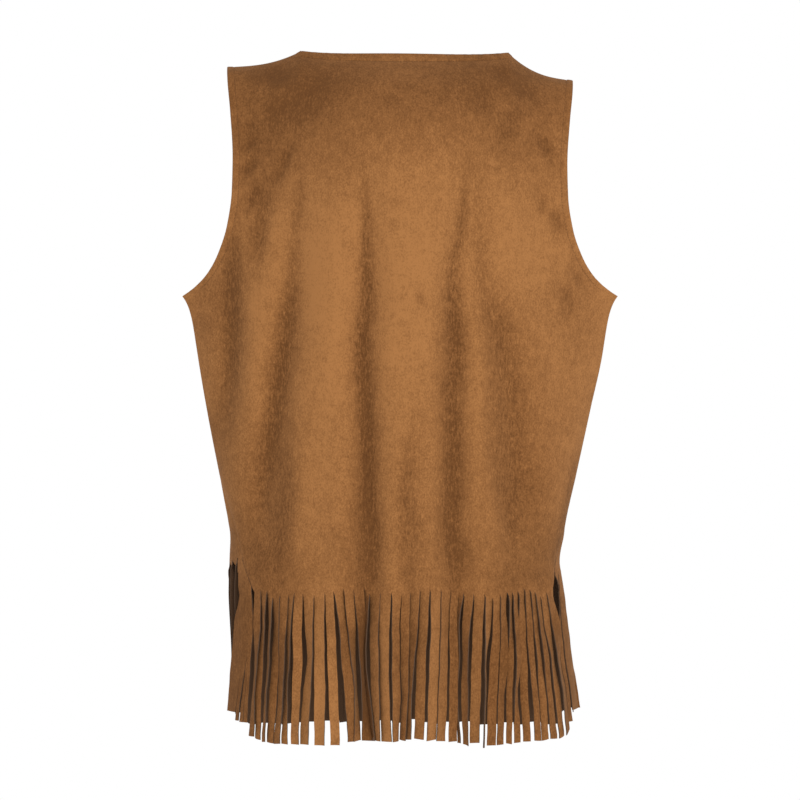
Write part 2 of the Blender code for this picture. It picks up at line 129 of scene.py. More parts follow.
# %% Reading a table on a smooth curve
def smooth(where, stops, values):
    """A curve through the values that never overshoots them."""
    stops, values = np.asarray(stops, float), np.asarray(values, float)
    steps = np.diff(stops)
    slopes = np.diff(values) / steps
    before, after = slopes[:-1], slopes[1:]
    same_way = before * after > 0
    inner = np.where(same_way, 2 * before * after / np.where(same_way, before + after, 1.0), 0.0)
    tangents = np.concatenate([slopes[:1], inner, slopes[-1:]])
    where = np.clip(where, stops[0], stops[-1])
    span = np.clip(np.searchsorted(stops, where, side="right") - 1, 0, len(steps) - 1)
    length = steps[span]
    part = (where - stops[span]) / length
    value = values[span] * (1 + 2 * part) * (1 - part) ** 2
    value += values[span + 1] * part**2 * (3 - 2 * part)
    value += length * tangents[span] * part * (1 - part) ** 2
    return value + length * tangents[span + 1] * part**2 * (part - 1)


def read(table, name, where):
    """One column of a table, on a smooth curve along its first column."""
    return smooth(where, [row[0] for row in table], [getattr(row, name) for row in table])


def ease(value):
    """0 below 0, 1 above 1 and a soft step between."""
    part = np.clip(value, 0.0, 1.0)
    return part * part * (3 - 2 * part)


print("half width at the waist", round(float(read(RINGS, "half_width", WAIST_DROP)), 4))


# %% The tube below the arms
def edge_weight(share, rise):
    """How strongly an edge's own curve is felt, from 0 in the middle to 1 on the edge."""
    return share ** (UNDERARM_EDGE_POWER + (SHOULDER_EDGE_POWER - UNDERARM_EDGE_POWER) * rise)


def sideways(share, rise, inner_x, half_width, edge_x, roundness):
    """Distance from the middle, along a flat lens at roundness 0 and an ellipse at 1."""
    around = (1 - roundness) * share + roundness * np.sin(share * math.pi / 2)
    on_form = inner_x + (half_width - inner_x) * around
    return on_form + (edge_x - half_width) * edge_weight(share, rise)


def depth(share, rise, middle_y, edge_y):
    """Front-to-back place: an arch over a panel, which follows the edge close to it."""
    return middle_y * np.cos(share * math.pi / 2) + edge_y * edge_weight(share, rise)


def seam_turn(sign, drop):
    """Where the left or right side seam lies, in quarter turns from the middle of the back."""
    drift = SEAM_DRIFTS[sign]
    part = np.clip((drop - drift.start) / (BACK_ROOT_DROP - drift.start), 0, 1)
    return 1 - drift.share * part**SEAM_DRIFT_POWER


def ring_points(turn, drop):
    """Points of the tube: turn is 0 at the middle of the back, 1 at a side and 2 at the front."""
    turn, drop = np.broadcast_arrays(turn, drop)
    around = np.abs(turn)
    at_back = around <= 1
    share = np.where(at_back, around, 2 - around)
    half_width = read(RINGS, "half_width", drop)
    edge_x = half_width + UNDERARM_REACH * np.exp((UNDERARM_DROP - drop) / UNDERARM_FADE)
    inner_x = np.where(at_back, 0.0, FRONT_HALF_GAP)
    out = sideways(share, 0.0, inner_x, half_width, edge_x, read(RINGS, "roundness", drop))
    x = read(RINGS, "shift", drop) + np.sign(turn) * out
    back_y = -read(RINGS, "back_depth", drop)
    front_y = read(RINGS, "front_depth", drop)
    y = depth(share, 0.0, np.where(at_back, back_y, front_y), 0.0)
    return np.stack([x, y, -drop], axis=-1)


print("side point at the waist", ring_points(1.0, WAIST_DROP).round(3))


# %% The shoulder seams and the back's top edge
SAG_POWER, NECK_ARCH_POWER, NECK_DIP_POWER = 0.85, 2, 4


def yoke_half_width(tip_x, hollow, rise):
    """Half the width above the underarm, hollowed where the armhole cuts in."""
    underarm = RINGS[0].half_width
    return underarm + (tip_x - underarm) * rise - hollow * np.sin(math.pi * rise) ** 2


def shoulder_seam(shoulder, part):
    """A shoulder seam's points: part is 0 at the neck point and 1 at the tip."""
    x = shoulder.neck_x + (shoulder.tip_x - shoulder.neck_x) * part
    drop = shoulder.neck_drop + (shoulder.tip_drop - shoulder.neck_drop) * part
    drop = drop + shoulder.sag * np.sin(math.pi * part**SAG_POWER)
    return np.stack([shoulder.sign * x, NECK_POINT_Y * (1 - part), -drop], axis=-1)


def back_top(place):
    """The back's top edge: two shoulder seams and the neck between them."""
    necks = (-LEFT.neck_x / LEFT.tip_x, RIGHT.neck_x / RIGHT.tip_x)
    top = np.zeros(place.shape + (3,))
    for shoulder, on_side in ((LEFT, place < 0), (RIGHT, place >= 0)):
        neck = shoulder.neck_x / shoulder.tip_x
        share = np.abs(place)
        seam = shoulder_seam(shoulder, np.clip((share - neck) / (1 - neck), 0, 1))
        inward = np.minimum(share / neck, 1)
        y = NECK_POINT_Y + (BACK_NECK_Y - NECK_POINT_Y) * (1 - inward**NECK_ARCH_POWER)
        drop = np.interp(place, necks, (LEFT.neck_drop, RIGHT.neck_drop))
        drop = drop + BACK_NECK_DIP * (1 - inward**NECK_DIP_POWER)
        neck_edge = np.stack([place * shoulder.tip_x, y, -drop], axis=-1)
        chosen = np.where((share >= neck)[..., None], seam, neck_edge)
        top = np.where(on_side[..., None], chosen, top)
    return top


print("right shoulder seam half way", shoulder_seam(RIGHT, 0.5).round(4))

# %% The yoke above the arms, at the back
TOP_EASE_POWER = 4


def back_yoke_raw(place, rise):
    """The yoke before its last rows are eased onto the top edge."""
    share = np.abs(place)
    tips = np.where(place < 0, LEFT.tip_x, RIGHT.tip_x)
    half_width = yoke_half_width(tips, BACK_HOLLOW, rise)
    edge_x = tips * read(ARMHOLE, "back_width", rise)
    out = sideways(share, rise, 0.0, half_width, edge_x, RINGS[0].roundness * (1 - rise))
    y = depth(share, rise, read(YOKE, "spine_y", rise), read(ARMHOLE, "back_y", rise))
    z = -UNDERARM_DROP + (back_top(place)[..., 2] + UNDERARM_DROP) * rise
    return np.stack([np.sign(place) * out, y, z], axis=-1)


def back_form(place, level):
    """The back: place runs -1 to 1 across; level is -1 at the slits, 0 underarm and 1 on top."""
    place, level = np.broadcast_arrays(place, level)
    drop = UNDERARM_DROP + (BACK_ROOT_DROP - UNDERARM_DROP) * np.clip(-level, 0, 1)
    seam = np.where(place < 0, seam_turn(-1, drop), seam_turn(1, drop))
    body = ring_points(place * seam, drop)
    rise = np.clip(level, 0, 1)
    missing = back_top(place) - back_yoke_raw(place, np.ones_like(rise))
    yoke = back_yoke_raw(place, rise) + missing * (rise**TOP_EASE_POWER)[..., None]
    return np.where((level > 0)[..., None], yoke, body)


print("neck edge at the spine", back_form(np.array(0.0), np.array(1.0)).round(3))


# %% The fronts
def front_root_drop(place):
    """Height of a front's slits, from its front edge at place 0 to the side seam at place 1."""
    return SIDE_ROOT_DROP + (FRONT_ROOT_DROP - SIDE_ROOT_DROP) * np.cos(place * math.pi / 2)


def front_yoke_raw(shoulder, place, rise):
    """A front's yoke before its last rows are eased onto the shoulder seam."""
    neck_share = read(YOKE, "neck_share", rise)
    inner_x = FRONT_HALF_GAP + (shoulder.neck_x - FRONT_HALF_GAP) * neck_share
    half_width = yoke_half_width(shoulder.tip_x, FRONT_HOLLOW, rise)
    edge_x = shoulder.tip_x * read(ARMHOLE, "front_width", rise)
    out = sideways(place, rise, inner_x, half_width, edge_x, RINGS[0].roundness * (1 - rise))
    y = depth(place, rise, read(YOKE, "front_y", rise), read(ARMHOLE, "front_y", rise))
    z = -UNDERARM_DROP + (shoulder_seam(shoulder, place)[..., 2] + UNDERARM_DROP) * rise
    return np.stack([shoulder.sign * out, y, z], axis=-1)


def front_form(shoulder, place, level):
    """A front: place runs from 0 at the front edge to 1 at the side; level as for the back."""
    place, level = np.broadcast_arrays(place, level)
    down = np.clip(-level, 0, 1)
    drop = UNDERARM_DROP + (SIDE_ROOT_DROP - UNDERARM_DROP) * down
    turn = 2 - place * (2 - seam_turn(shoulder.sign, drop))
    lowered = (front_root_drop(place) - SIDE_ROOT_DROP) * down**2
    body = ring_points(shoulder.sign * turn, drop + lowered)
    rise = np.clip(level, 0, 1)
    missing = shoulder_seam(shoulder, place) - front_yoke_raw(shoulder, place, np.ones_like(rise))
    yoke = front_yoke_raw(shoulder, place, rise) + missing * (rise**TOP_EASE_POWER)[..., None]
    return np.where((level > 0)[..., None], yoke, body)


print("front edge underarm", front_form(RIGHT, np.array(0.0), np.array(0.0)).round(3))

# %% [markdown]
# ## Folds and creases
#
# Loose cloth that hangs from two shoulders falls into long soft folds, and it drags into short diagonal
# creases beside the armholes. A simulation would put them anywhere. These were placed one by one, each
# with a path, a width and a depth of its own, so that the back keeps the folds that it is known by.
# Every fold also carries a *nap* value, which paints shade into its trough: the darkening stands for the
# shade in the fold and for the short pile brushed the other way, and it shows far more than the depth does.

# %% Long folds of the back and the fronts
# A path is a list of (drop, x). The nap and dark band values say how dark the painted shade in the trough
# is, how wide, and where it starts, how fast it comes up and where it ends.
Fold = namedtuple("Fold", "half_width depth nap nap_width nap_start nap_fade nap_end path")
BACK_FOLDS = (
    Fold(0.016, 0.007, 0.78, 0.0105, 0.17, 0.10, 0.47, (
        (0.150, -0.178), (0.209, -0.187), (0.287, -0.188), (0.315, -0.186), (0.354, -0.189),
        (0.415, -0.192), (0.471, -0.195))),
    Fold(0.020, 0.013, 0.86, 0.0120, 0.15, 0.23, 0.55, (
        (0.120, -0.107), (0.171, -0.113), (0.210, -0.117), (0.260, -0.119), (0.308, -0.124),
        (0.364, -0.133), (0.407, -0.139), (0.450, -0.145), (0.515, -0.151), (0.600, -0.154))),
    Fold(0.018, 0.015, 0.95, 0.0090, 0.11, 0.20, 0.66, (
        (0.090, -0.043), (0.147, -0.038), (0.183, -0.037), (0.242, -0.0365), (0.282, -0.0355),
        (0.321, -0.041), (0.379, -0.039), (0.414, -0.037), (0.464, -0.035), (0.506, -0.035),
        (0.548, -0.031), (0.604, -0.033), (0.670, -0.037), (0.790, -0.037))),
    Fold(0.014, 0.006, 0.46, 0.0080, 0.40, 0.10, 0.64, (
        (0.390, 0.016), (0.433, 0.013), (0.491, 0.007), (0.557, 0.006), (0.637, 0.010),
        (0.790, 0.010))),
    Fold(0.018, 0.014, 0.84, 0.0100, 0.09, 0.24, 0.66, (
        (0.095, 0.076), (0.116, 0.074), (0.167, 0.071), (0.209, 0.0665), (0.251, 0.059),
        (0.294, 0.0600), (0.350, 0.0615), (0.393, 0.058), (0.478, 0.058), (0.520, 0.057),
        (0.577, 0.061), (0.640, 0.062), (0.790, 0.061))),
    Fold(0.019, 0.011, 0.54, 0.0150, 0.10, 0.26, 0.60, (
        (0.116, 0.085), (0.165, 0.088), (0.215, 0.090), (0.251, 0.092), (0.293, 0.103),
        (0.336, 0.115), (0.393, 0.122), (0.435, 0.123), (0.477, 0.127), (0.534, 0.130),
        (0.590, 0.138))),
)
FRONT_FOLDS = (
    Fold(0.022, 0.012, 0.60, 0.0100, 0.18, 0.16, 0.66, (
        (0.160, -0.150), (0.360, -0.146), (0.560, -0.152), (0.790, -0.150))),
    Fold(0.020, 0.013, 0.66, 0.0090, 0.24, 0.16, 0.66, (
        (0.230, -0.082), (0.400, -0.084), (0.600, -0.076), (0.790, -0.072))),
    Fold(0.020, 0.013, 0.70, 0.0090, 0.26, 0.16, 0.66, (
        (0.250, 0.060), (0.420, 0.063), (0.580, 0.058), (0.790, 0.060))),
    Fold(0.022, 0.012, 0.56, 0.0110, 0.18, 0.16, 0.66, (
        (0.160, 0.142), (0.360, 0.145), (0.560, 0.137), (0.790, 0.137))),
)
print(len(BACK_FOLDS), "folds on the back,", len(FRONT_FOLDS), "on the fronts")

# %% Sinking the folds into a panel
FOLD_FADE_LENGTH, SEAM_FADE_SHARE, PRESS_ROUNDS = 0.240, 0.10, 3
FLANK_PLACE, FLANK_SPREAD, FLANK_SHARE = 2.1, 0.8, 0.10


def fold_trace(fold, x, drop, start, fade_length):
    """How far each point lies beside a fold's path, and how strong the fold is at that height."""
    drops, places = zip(*fold.path)
    ending = 1.0 if drops[-1] > BACK_ROOT_DROP else ease((drops[-1] - drop) / fade_length * 2)
    return x - smooth(drop, drops, places), ease((drop - start) / fade_length) * ending


def unit(vectors):
    return vectors / np.linalg.norm(vectors, axis=-1, keepdims=True)


def grid_normals(points):
    """Unit normals of a grid of points, pointing away from the wearer."""
    normals = unit(np.cross(np.gradient(points, axis=1), np.gradient(points, axis=0)))
    return normals * np.sign(np.sum(normals[..., :2] * points[..., :2]))


def levelled(directions):
    return unit(directions * (1.0, 1.0, 0.0))


def seam_fade(share):
    """1 inside a panel, falling to 0 on its seams, where the folds die out."""
    return ease((1 - np.abs(share)) / SEAM_FADE_SHARE)


def fold_sink(points, folds):
    """How far the folds sink each point, with a low ridge pushed up on both flanks."""
    x, drop = points[..., 0], -points[..., 2]
    sunk = np.zeros(x.shape)
    for fold in folds:
        off, strength = fold_trace(fold, x, drop, fold.path[0][0], FOLD_FADE_LENGTH)
        off = off / fold.half_width
        flanks = np.exp(-((np.abs(off) - FLANK_PLACE) ** 2) / FLANK_SPREAD)
        sunk += fold.depth * strength * (np.exp(-(off**2)) - FLANK_SHARE * flanks)
    return sunk


def sunk_by_folds(points, share, folds):
    """Points pressed in by the folds; repeated, so that troughs end up on their paths."""
    walls, fade = levelled(grid_normals(points)), seam_fade(share)
    pressed = points
    for _ in range(PRESS_ROUNDS):
        pressed = points - walls * (fold_sink(pressed, folds) * fade)[..., None]
    return pressed


print("folds are pressed in", PRESS_ROUNDS, "rounds")

# %% Short creases, brush marks and painted shade
# Each crease's nap paints shade along it. Those without a depth exist only in the nap: a broad dark mark on
# the lower back, and painted shade down the right flank, where the side turns away from the light; that one
# runs over the side seam.
Crease = namedtuple("Crease", "half_width depth nap path")
RIGHT_FLANK_SHADE = Crease(0.006, 0.0, 0.55, (
    (0.450, 0.2015), (0.476, 0.196), (0.526, 0.186), (0.565, 0.177), (0.592, 0.172)))
BACK_CREASES = (
    RIGHT_FLANK_SHADE,
    Crease(0.011, 0.0030, 0.52, ((0.149, -0.146), (0.188, -0.153), (0.221, -0.159), (0.249, -0.161))),
    Crease(0.007, 0.0024, 0.50, ((0.105, -0.121), (0.130, -0.130), (0.157, -0.142))),
    Crease(0.005, 0.0018, 0.40, ((0.080, -0.162), (0.090, -0.171), (0.101, -0.180))),
    Crease(0.006, 0.0024, 0.52, ((0.097, -0.160), (0.108, -0.170), (0.118, -0.178))),
    Crease(0.007, 0.0026, 0.56, ((0.118, -0.159), (0.131, -0.169), (0.145, -0.178))),
    Crease(0.010, 0.0026, 0.64, ((0.153, -0.149), (0.165, -0.162), (0.178, -0.174))),
    Crease(0.009, 0.0014, 0.80, ((0.028, -0.155), (0.028, -0.139), (0.031, -0.122))),
    Crease(0.015, 0.0020, 0.52, (
        (0.040, -0.061), (0.040, -0.087), (0.058, -0.114), (0.074, -0.141), (0.096, -0.159))),
    Crease(0.012, 0.0014, 0.30, ((0.060, -0.078), (0.074, -0.104), (0.089, -0.124))),
    Crease(0.009, 0.0012, 0.64, ((0.020, 0.100), (0.027, 0.113), (0.035, 0.124))),
    Crease(0.008, 0.0012, 0.44, ((0.043, 0.124), (0.049, 0.142), (0.055, 0.156))),
    Crease(0.010, 0.0012, 0.42, ((0.067, 0.133), (0.085, 0.124), (0.105, 0.114), (0.118, 0.111))),
    Crease(0.007, 0.0020, 0.54, ((0.091, 0.151), (0.111, 0.164), (0.133, 0.174))),
    Crease(0.007, 0.0012, 0.38, ((0.156, 0.155), (0.171, 0.159), (0.187, 0.155))),
    Crease(0.008, 0.0010, 0.46, ((0.177, 0.169), (0.193, 0.177), (0.211, 0.175))),
    Crease(0.007, 0.0010, 0.36, ((0.262, 0.177), (0.273, 0.186), (0.282, 0.194))),
    Crease(0.006, 0.0010, 0.32, ((0.240, 0.191), (0.255, 0.200), (0.271, 0.211))),
    Crease(0.007, 0.0008, 0.36, ((0.284, 0.181), (0.293, 0.189), (0.304, 0.184))),
    Crease(0.010, 0.0016, 0.42, ((0.039, 0.088), (0.060, 0.093), (0.080, 0.091))),
    Crease(0.012, 0.0016, 0.46, (
        (0.426, -0.124), (0.448, -0.126), (0.509, -0.126), (0.538, -0.132), (0.600, -0.136))),
    Crease(0.009, 0.0016, 0.22, (
        (0.293, 0.096), (0.334, 0.099), (0.443, 0.101), (0.501, 0.113), (0.593, 0.133))),
    Crease(0.024, 0.0000, 0.36, ((0.480, -0.150), (0.530, -0.146), (0.600, -0.142))),
    Crease(0.007, 0.0006, 0.28, ((0.130, -0.112), (0.170, -0.108), (0.200, -0.116))),
    Crease(0.004, 0.0004, 0.30, ((0.192, -0.008), (0.203, -0.006))),
    Crease(0.004, 0.0004, 0.30, ((0.272, 0.020), (0.290, 0.022))),
    Crease(0.012, 0.0006, 0.24, ((0.500, 0.012), (0.540, 0.020), (0.580, 0.024))),
    Crease(0.008, 0.0006, 0.30, ((0.478, 0.117), (0.530, 0.124), (0.560, 0.121))),
)
FRONT_CREASES = (
    RIGHT_FLANK_SHADE,
    Crease(0.009, 0.0024, 0.32, ((0.110, -0.166), (0.140, -0.150), (0.175, -0.138))),
    Crease(0.007, 0.0020, 0.28, ((0.145, -0.172), (0.170, -0.160), (0.200, -0.150))),
    Crease(0.012, 0.0016, 0.30, ((0.300, -0.196), (0.345, -0.190), (0.400, -0.188))),
    Crease(0.008, 0.0014, 0.24, ((0.060, -0.150), (0.085, -0.138), (0.115, -0.130))),
    Crease(0.009, 0.0022, 0.30, ((0.120, 0.164), (0.150, 0.150), (0.185, 0.136))),
    Crease(0.007, 0.0018, 0.26, ((0.160, 0.172), (0.182, 0.160), (0.210, 0.148))),
    Crease(0.012, 0.0016, 0.28, ((0.310, 0.196), (0.350, 0.191), (0.405, 0.186))),
    Crease(0.008, 0.0014, 0.22, ((0.070, 0.150), (0.095, 0.140), (0.125, 0.130))),
)
print(len(BACK_CREASES), "short creases on the back,", len(FRONT_CREASES), "on the fronts")

# %% Tracing a crease
CREASE_END_SHARE, CREASE_END_STRENGTH, FAR_AWAY = 0.35, 0.25, 1e3


def crease_trace(crease, x, drop):
    """How much of a crease is felt at each point, from 0 to 1, with soft ends."""
    path = np.array(crease.path)
    lengths = np.linalg.norm(np.diff(path, axis=0), axis=1)
    starts = np.concatenate([[0], np.cumsum(lengths)])
    nearest, along = np.full(x.shape, FAR_AWAY), np.zeros(x.shape)
    for start, end, length, before in zip(path[:-1], path[1:], lengths, starts):
        fall, shift = end - start
        run = ((drop - start[0]) * fall + (x - start[1]) * shift) / length
        run = np.clip(run, 0, length)
        off_drop = drop - start[0] - run / length * fall
        off_x = x - start[1] - run / length * shift
        distance = np.hypot(off_drop, off_x)
        along = np.where(distance < nearest, before + run, along)
        nearest = np.minimum(nearest, distance)
    ends = np.minimum(along, starts[-1] - along) / (CREASE_END_SHARE * starts[-1])
    strength = CREASE_END_STRENGTH + (1 - CREASE_END_STRENGTH) * ease(ends)
    return np.exp(-((nearest / crease.half_width) ** 2)) * strength


flank_drop, flank_x = np.array(RIGHT_FLANK_SHADE.path[2])
on_path = crease_trace(RIGHT_FLANK_SHADE, flank_x, flank_drop)
print("the right flank's mark on its path", round(float(on_path), 2))

# %% [markdown]
# ## The fringe
#
# The fringe is the same cloth, cut up from the hem about every 11 mm. Each strip leans, bows, twists and
# lies over or under its neighbour. A simulation could hang them, but the back's strips are wanted as they
# hang in the photograph, so they are set one by one. The fronts' strips hang more evenly and get small
# seeded differences; only those beside the side seams show, and these are set one by one too.

# %% The cuts of the back's fringe
# A cut is set in millimetres: the width of the strip after it, how far its top rises above the line of the
# slits, its places right of the middle and its openings at four station heights, and how much longer the
# strip is than the line of the tips. At an opening below 0 the strips overlap. Shade is painted shade on the
# strip, darker for strips that lie in a fold's trough and strips that turn away from the light; below 0 it
# lightens the strip. Mouth opens the cut a little more just below its top, and free_drop, in metres, is where
# it leaves the form.
STATION_DROPS = (0.640, 0.680, 0.720, 0.766)
FREE_DROP = BACK_ROOT_DROP - 0.008
Cut = namedtuple(
    "Cut", "width rise places openings longer shade mouth free_drop", defaults=(0.0, 0.0, 0.0, FREE_DROP)
)
BACK_CUTS = (
    Cut(9.5, 1, (-163.5, -163.5, -166.0, -169.5), (0.8, 5.4, 5.2, 3.0), -2.0, 0.35),
    Cut(9.0, 5, (-154.0, -157.5, -161.0, -161.5), (0.6, -1.0, -1.0, -0.5), 0.0, 0.05),
    Cut(8.0, 4, (-148.0, -149.0, -151.5, -154.0), (4.8, 5.2, 4.5, 2.7), 2.0, 0.3),
    Cut(9.5, -3, (-141.5, -143.0, -146.0, -148.5), (2.4, 1.4, 1.8, 0.8), 2.5, 0.2),
    Cut(11.5, 0, (-134.5, -134.0, -135.0, -139.5), (-0.5, 0.4, 1.7, 1.1), 3.0, 0.25),
    Cut(7.5, 0, (-125.0, -126.0, -128.0, -131.5), (-0.3, 1.4, 1.1, 0.2), 3.0, 0),
    Cut(10.5, 3, (-119.5, -120.0, -121.5, -122.0), (1.7, 3.8, 5.4, 4.3), 2.6, -0.05),
    Cut(13.5, 2, (-106.5, -104.5, -108.0, -110.5), (2.3, 4.0, 1.8, 0.6), 2.6, -0.15),
    Cut(13.0, 1, (-95.0, -95.0, -96.0, -97.0), (1.4, 2.4, 4.2, 7.0), 2.8, -0.2),
    Cut(10.5, 4, (-82.0, -81.0, -80.0, -79.5), (1.1, 1.4, 2.1, 5.0), 2.4, -0.05),
    Cut(11.0, 5, (-69.5, -67.5, -65.0, -62.5), (3.1, 3.5, 5.4, 6.8), -1.0, 0.35),
    Cut(10.5, 8, (-59.5, -55.0, -51.0, -51.0), (1.1, 1.1, 0.7, -0.8), -1.2, 0.15),
    Cut(11.5, 7, (-49.0, -47.5, -45.0, -42.5), (1.1, 4.0, 4.7, 2.1), -1.2, 0.65),
    Cut(7.0, 9, (-38.5, -40.0, -37.5, -29.0), (-0.5, -1.0, -1.0, -0.5), -1.0, 0.65),
    Cut(13.0, 2, (-34.0, -34.5, -31.5, -27.0), (3.5, 5.8, 2.5, 0.7), -1.6, -0.1),
    Cut(13.0, 5, (-22.5, -22.0, -21.5, -20.5), (-0.4, -0.6, -0.6, -0.4), -1.0, -0.1),
    Cut(11.5, 4, (-10.0, -10.5, -10.0, -8.5), (1.4, 2.3, 2.3, 1.1), -1.4, 0.3),
    Cut(10.0, 3, (0.0, 0.0, 1.0, -1.5), (1.1, 0.9, 1.2, 0.3), -2.6, 0.2),
    Cut(11.0, 5, (10.5, 9.5, 8.5, 5.5), (-0.5, -0.8, -0.8, -0.4), -3.4, 0.35),
    Cut(11.0, 8, (21.0, 17.5, 15.0, 13.5), (0.7, 2.0, 4.2, 3.5), -4.0, 0.2),
    Cut(13.5, 9, (32.0, 30.0, 29.0, 27.5), (1.3, 2.0, 1.3, 2.0), -3.2, -0.05),
    Cut(13.5, 8, (44.0, 42.5, 41.0, 39.5), (1.0, 1.1, 0.8, 0.4), -1.6, 0),
    Cut(10.0, 6, (53.5, 52.5, 52.0, 50.5), (-0.4, 0.6, 0.9, 2.0), -0.4, 0.25),
    Cut(6.0, 5, (63.0, 64.5, 63.5, 63.5), (0.8, -0.8, -0.8, 1.4), 1.4, 0.5),
    Cut(9.5, 3, (68.0, 68.5, 66.5, 69.5), (3.7, 4.1, 5.2, 3.7), 3.0, 0.15),
    Cut(11.5, 2, (80.0, 78.0, 77.5, 77.0), (2.0, 2.5, 1.4, 0.2), 0.4, 0.1),
    Cut(9.5, 2, (93.0, 92.0, 91.5, 90.0), (1.3, 2.3, 3.3, 4.0), 5.5, 0.05),
    Cut(9.5, -3, (101.5, 97.0, 95.5, 94.0), (1.7, 4.0, 2.0, 2.8), 3.0, 0.35),
    Cut(9.0, 1, (111.0, 109.5, 107.5, 106.0), (-0.5, -0.8, -0.8, -0.4), 2.4, 0.45),
    Cut(6.8, 3, (119.5, 119.0, 115.0, 115.0), (2.8, -0.4, 0.9, 2.8), 2.0, 0.25, 2.4),
    Cut(7.4, 3, (125.0, 127.5, 126.5, 124.5), (1.7, 1.0, -0.6, -0.4), 1.0, 0.3, 0.8),
    Cut(8.3, 4, (131.5, 133.0, 131.0, 135.0), (-0.4, -0.4, 2.4, 2.3), 0.6, 0.2, 2.0),
    Cut(8.3, 7, (139.5, 141.5, 144.5, 147.0), (-0.4, 0.4, 2.1, 2.6), 0.6, 0.25, 1.2),
    Cut(7.7, 5, (147.5, 150.5, 153.5, 157.0), (1.1, 3.4, 1.7, 1.1), 1.0, 0.1, 0.8),
    Cut(8.5, 2, (154.0, 158.0, 162.5, 166.0), (0.6, 1.1, -0.4, 0.4), 1.0, 0.3),
    Cut(9.7, -3, (159.5, 166.5, 170.5, 176.0), (1.1, 3.1, 3.4, 3.4), 1.5, 0.1),
    Cut(13.3, 1, (168.0, 173.0, 179.5, 184.0), (0.3, 2.0, 1.1, 0.2), 1.0, 0.45),
    Cut(0.0, 5, (178.5, 179.0, 185.0, 189.5), (0.6, 1.4, 2.0, 1.1), mouth=6.0, free_drop=0.588),
)
BACK_WIDTHS = [cut.width for cut in BACK_CUTS[:-1]]


def cut_shares(widths):
    """Shares of the hem's width at which it is cut, from 0 to 1."""
    places = np.cumsum([0.0] + [width for width in widths if width])
    return places / places[-1]


print(len(BACK_WIDTHS), "strips on the back, the first cut at", cut_shares(BACK_WIDTHS)[1].round(4))

# %% The back's strips, and the cuts beside the side seams
# Strips lie over and under each other in turn, by a lift in millimetres. The strips beside the side seams
# belong to the fronts; a cut without a width shares the columns of the piece before it.
OVER, UNDER = 2.4, 0.4
CutStrip = namedtuple("CutStrip", "first last way lift longer shade follows_form")
BACK_STRIPS = [
    CutStrip(first, last, 1, UNDER if number % 2 else OVER, first.longer, first.shade, False)
    for number, (first, last) in enumerate(zip(BACK_CUTS[:-1], BACK_CUTS[1:]))
]
# Their shade is painted shade, for strips beside the side seams that hang where the sides turn from the
# light.
SEAM_CUTS = {
    "left": (
        Cut(10.0, 0, (-186.0, -189.5, -193.0, -196.0), (0.0, 0.0, 0.0, 0.0), -11.5, 0.5, 12.0, 0.572),
        Cut(0.0, 0, (-177.0, -177.0, -181.5, -187.0), (0.0, 0.0, 0.3, 1.2), -3.0, 0.5),
        Cut(0.0, 0, (-169.5, -171.5, -177.0, -182.0), (0.0, 0.2, 1.8, 1.4), -3.0, 0.5),
        Cut(0.0, 0, (-167.5, -169.5, -173.0, -176.5), (0.0, 0.0, 0.3, 0.8), -4.5, 0.4),
        BACK_CUTS[0],
    ),
    "right": (
        Cut(12.0, 0, (189.0, 194.0, 201.0, 208.0), (0.0, 0.0, 0.0, 0.0), -7.0, 0.5, 0.0, 0.588),
        Cut(9.0, 0, (181.0, 185.0, 191.0, 196.5), (0.5, 1.0, 1.2, 1.5), 3.0, 0.5, 0.0, 0.588),
        BACK_CUTS[-1],
    ),
}
print({side: len(cuts) - 1 for side, cuts in SEAM_CUTS.items()}, "strips beside the side seams")

# %% The even strips of the fronts
# Lean, lift and longer are in millimetres and twist is in degrees. A strip has turned, and is lifted, after
# a share of its length, and is drawn wider by its overlap. Three strips at the left side hang edge-on.
TURN_SHARE, LIFT_SHARE, EVEN_OVERLAP = 0.25, 0.35, 0.26
EvenStrip = namedtuple(
    "EvenStrip", "lean lift twist longer shade turn_share lift_share overlap",
    defaults=(TURN_SHARE, LIFT_SHARE, EVEN_OVERLAP),
)
EVEN_FRONT_STRIPS, EVEN_STRIP_WIDTH = 20, 13.0
FRONT_SEEDS = {"left": 11, "right": 23}
TWIST_SPREAD, LONGER_SPREAD, SHADE_SPREAD, EVEN_SHADE = 4, 1.2, 0.08, 0.03
LIFT_STEP, LIFT_SPREAD, LEAN_SIZE, LEAN_PACE = 0.9, 0.2, 0.8, 0.7
# Their shade of 0.6 is painted shade, for the shadow of the left side that these strips hang in.
EDGE_ON_STRIPS = (
    EvenStrip(0.0, -11.5, 70, -8.0, 0.6, 0.13, 0.75, 0.0),
    EvenStrip(0.0, -12.5, 78, -9.0, 0.6, 0.10, 0.75, 0.0),
    EvenStrip(0.0, -14.0, 80, -8.0, 0.6, 0.09, 0.75, 0.0),
)
MIDDLE_LEANS = (-8.0, -7.2, -6.0, -4.8, -3.6, -2.4, -1.2)
MIDDLE_LIFT = {"left": 3.0, "right": 0.0}
SIDE_STRIPS, SIDE_LIFT = 7, {"left": -9.0, "right": -5.0}


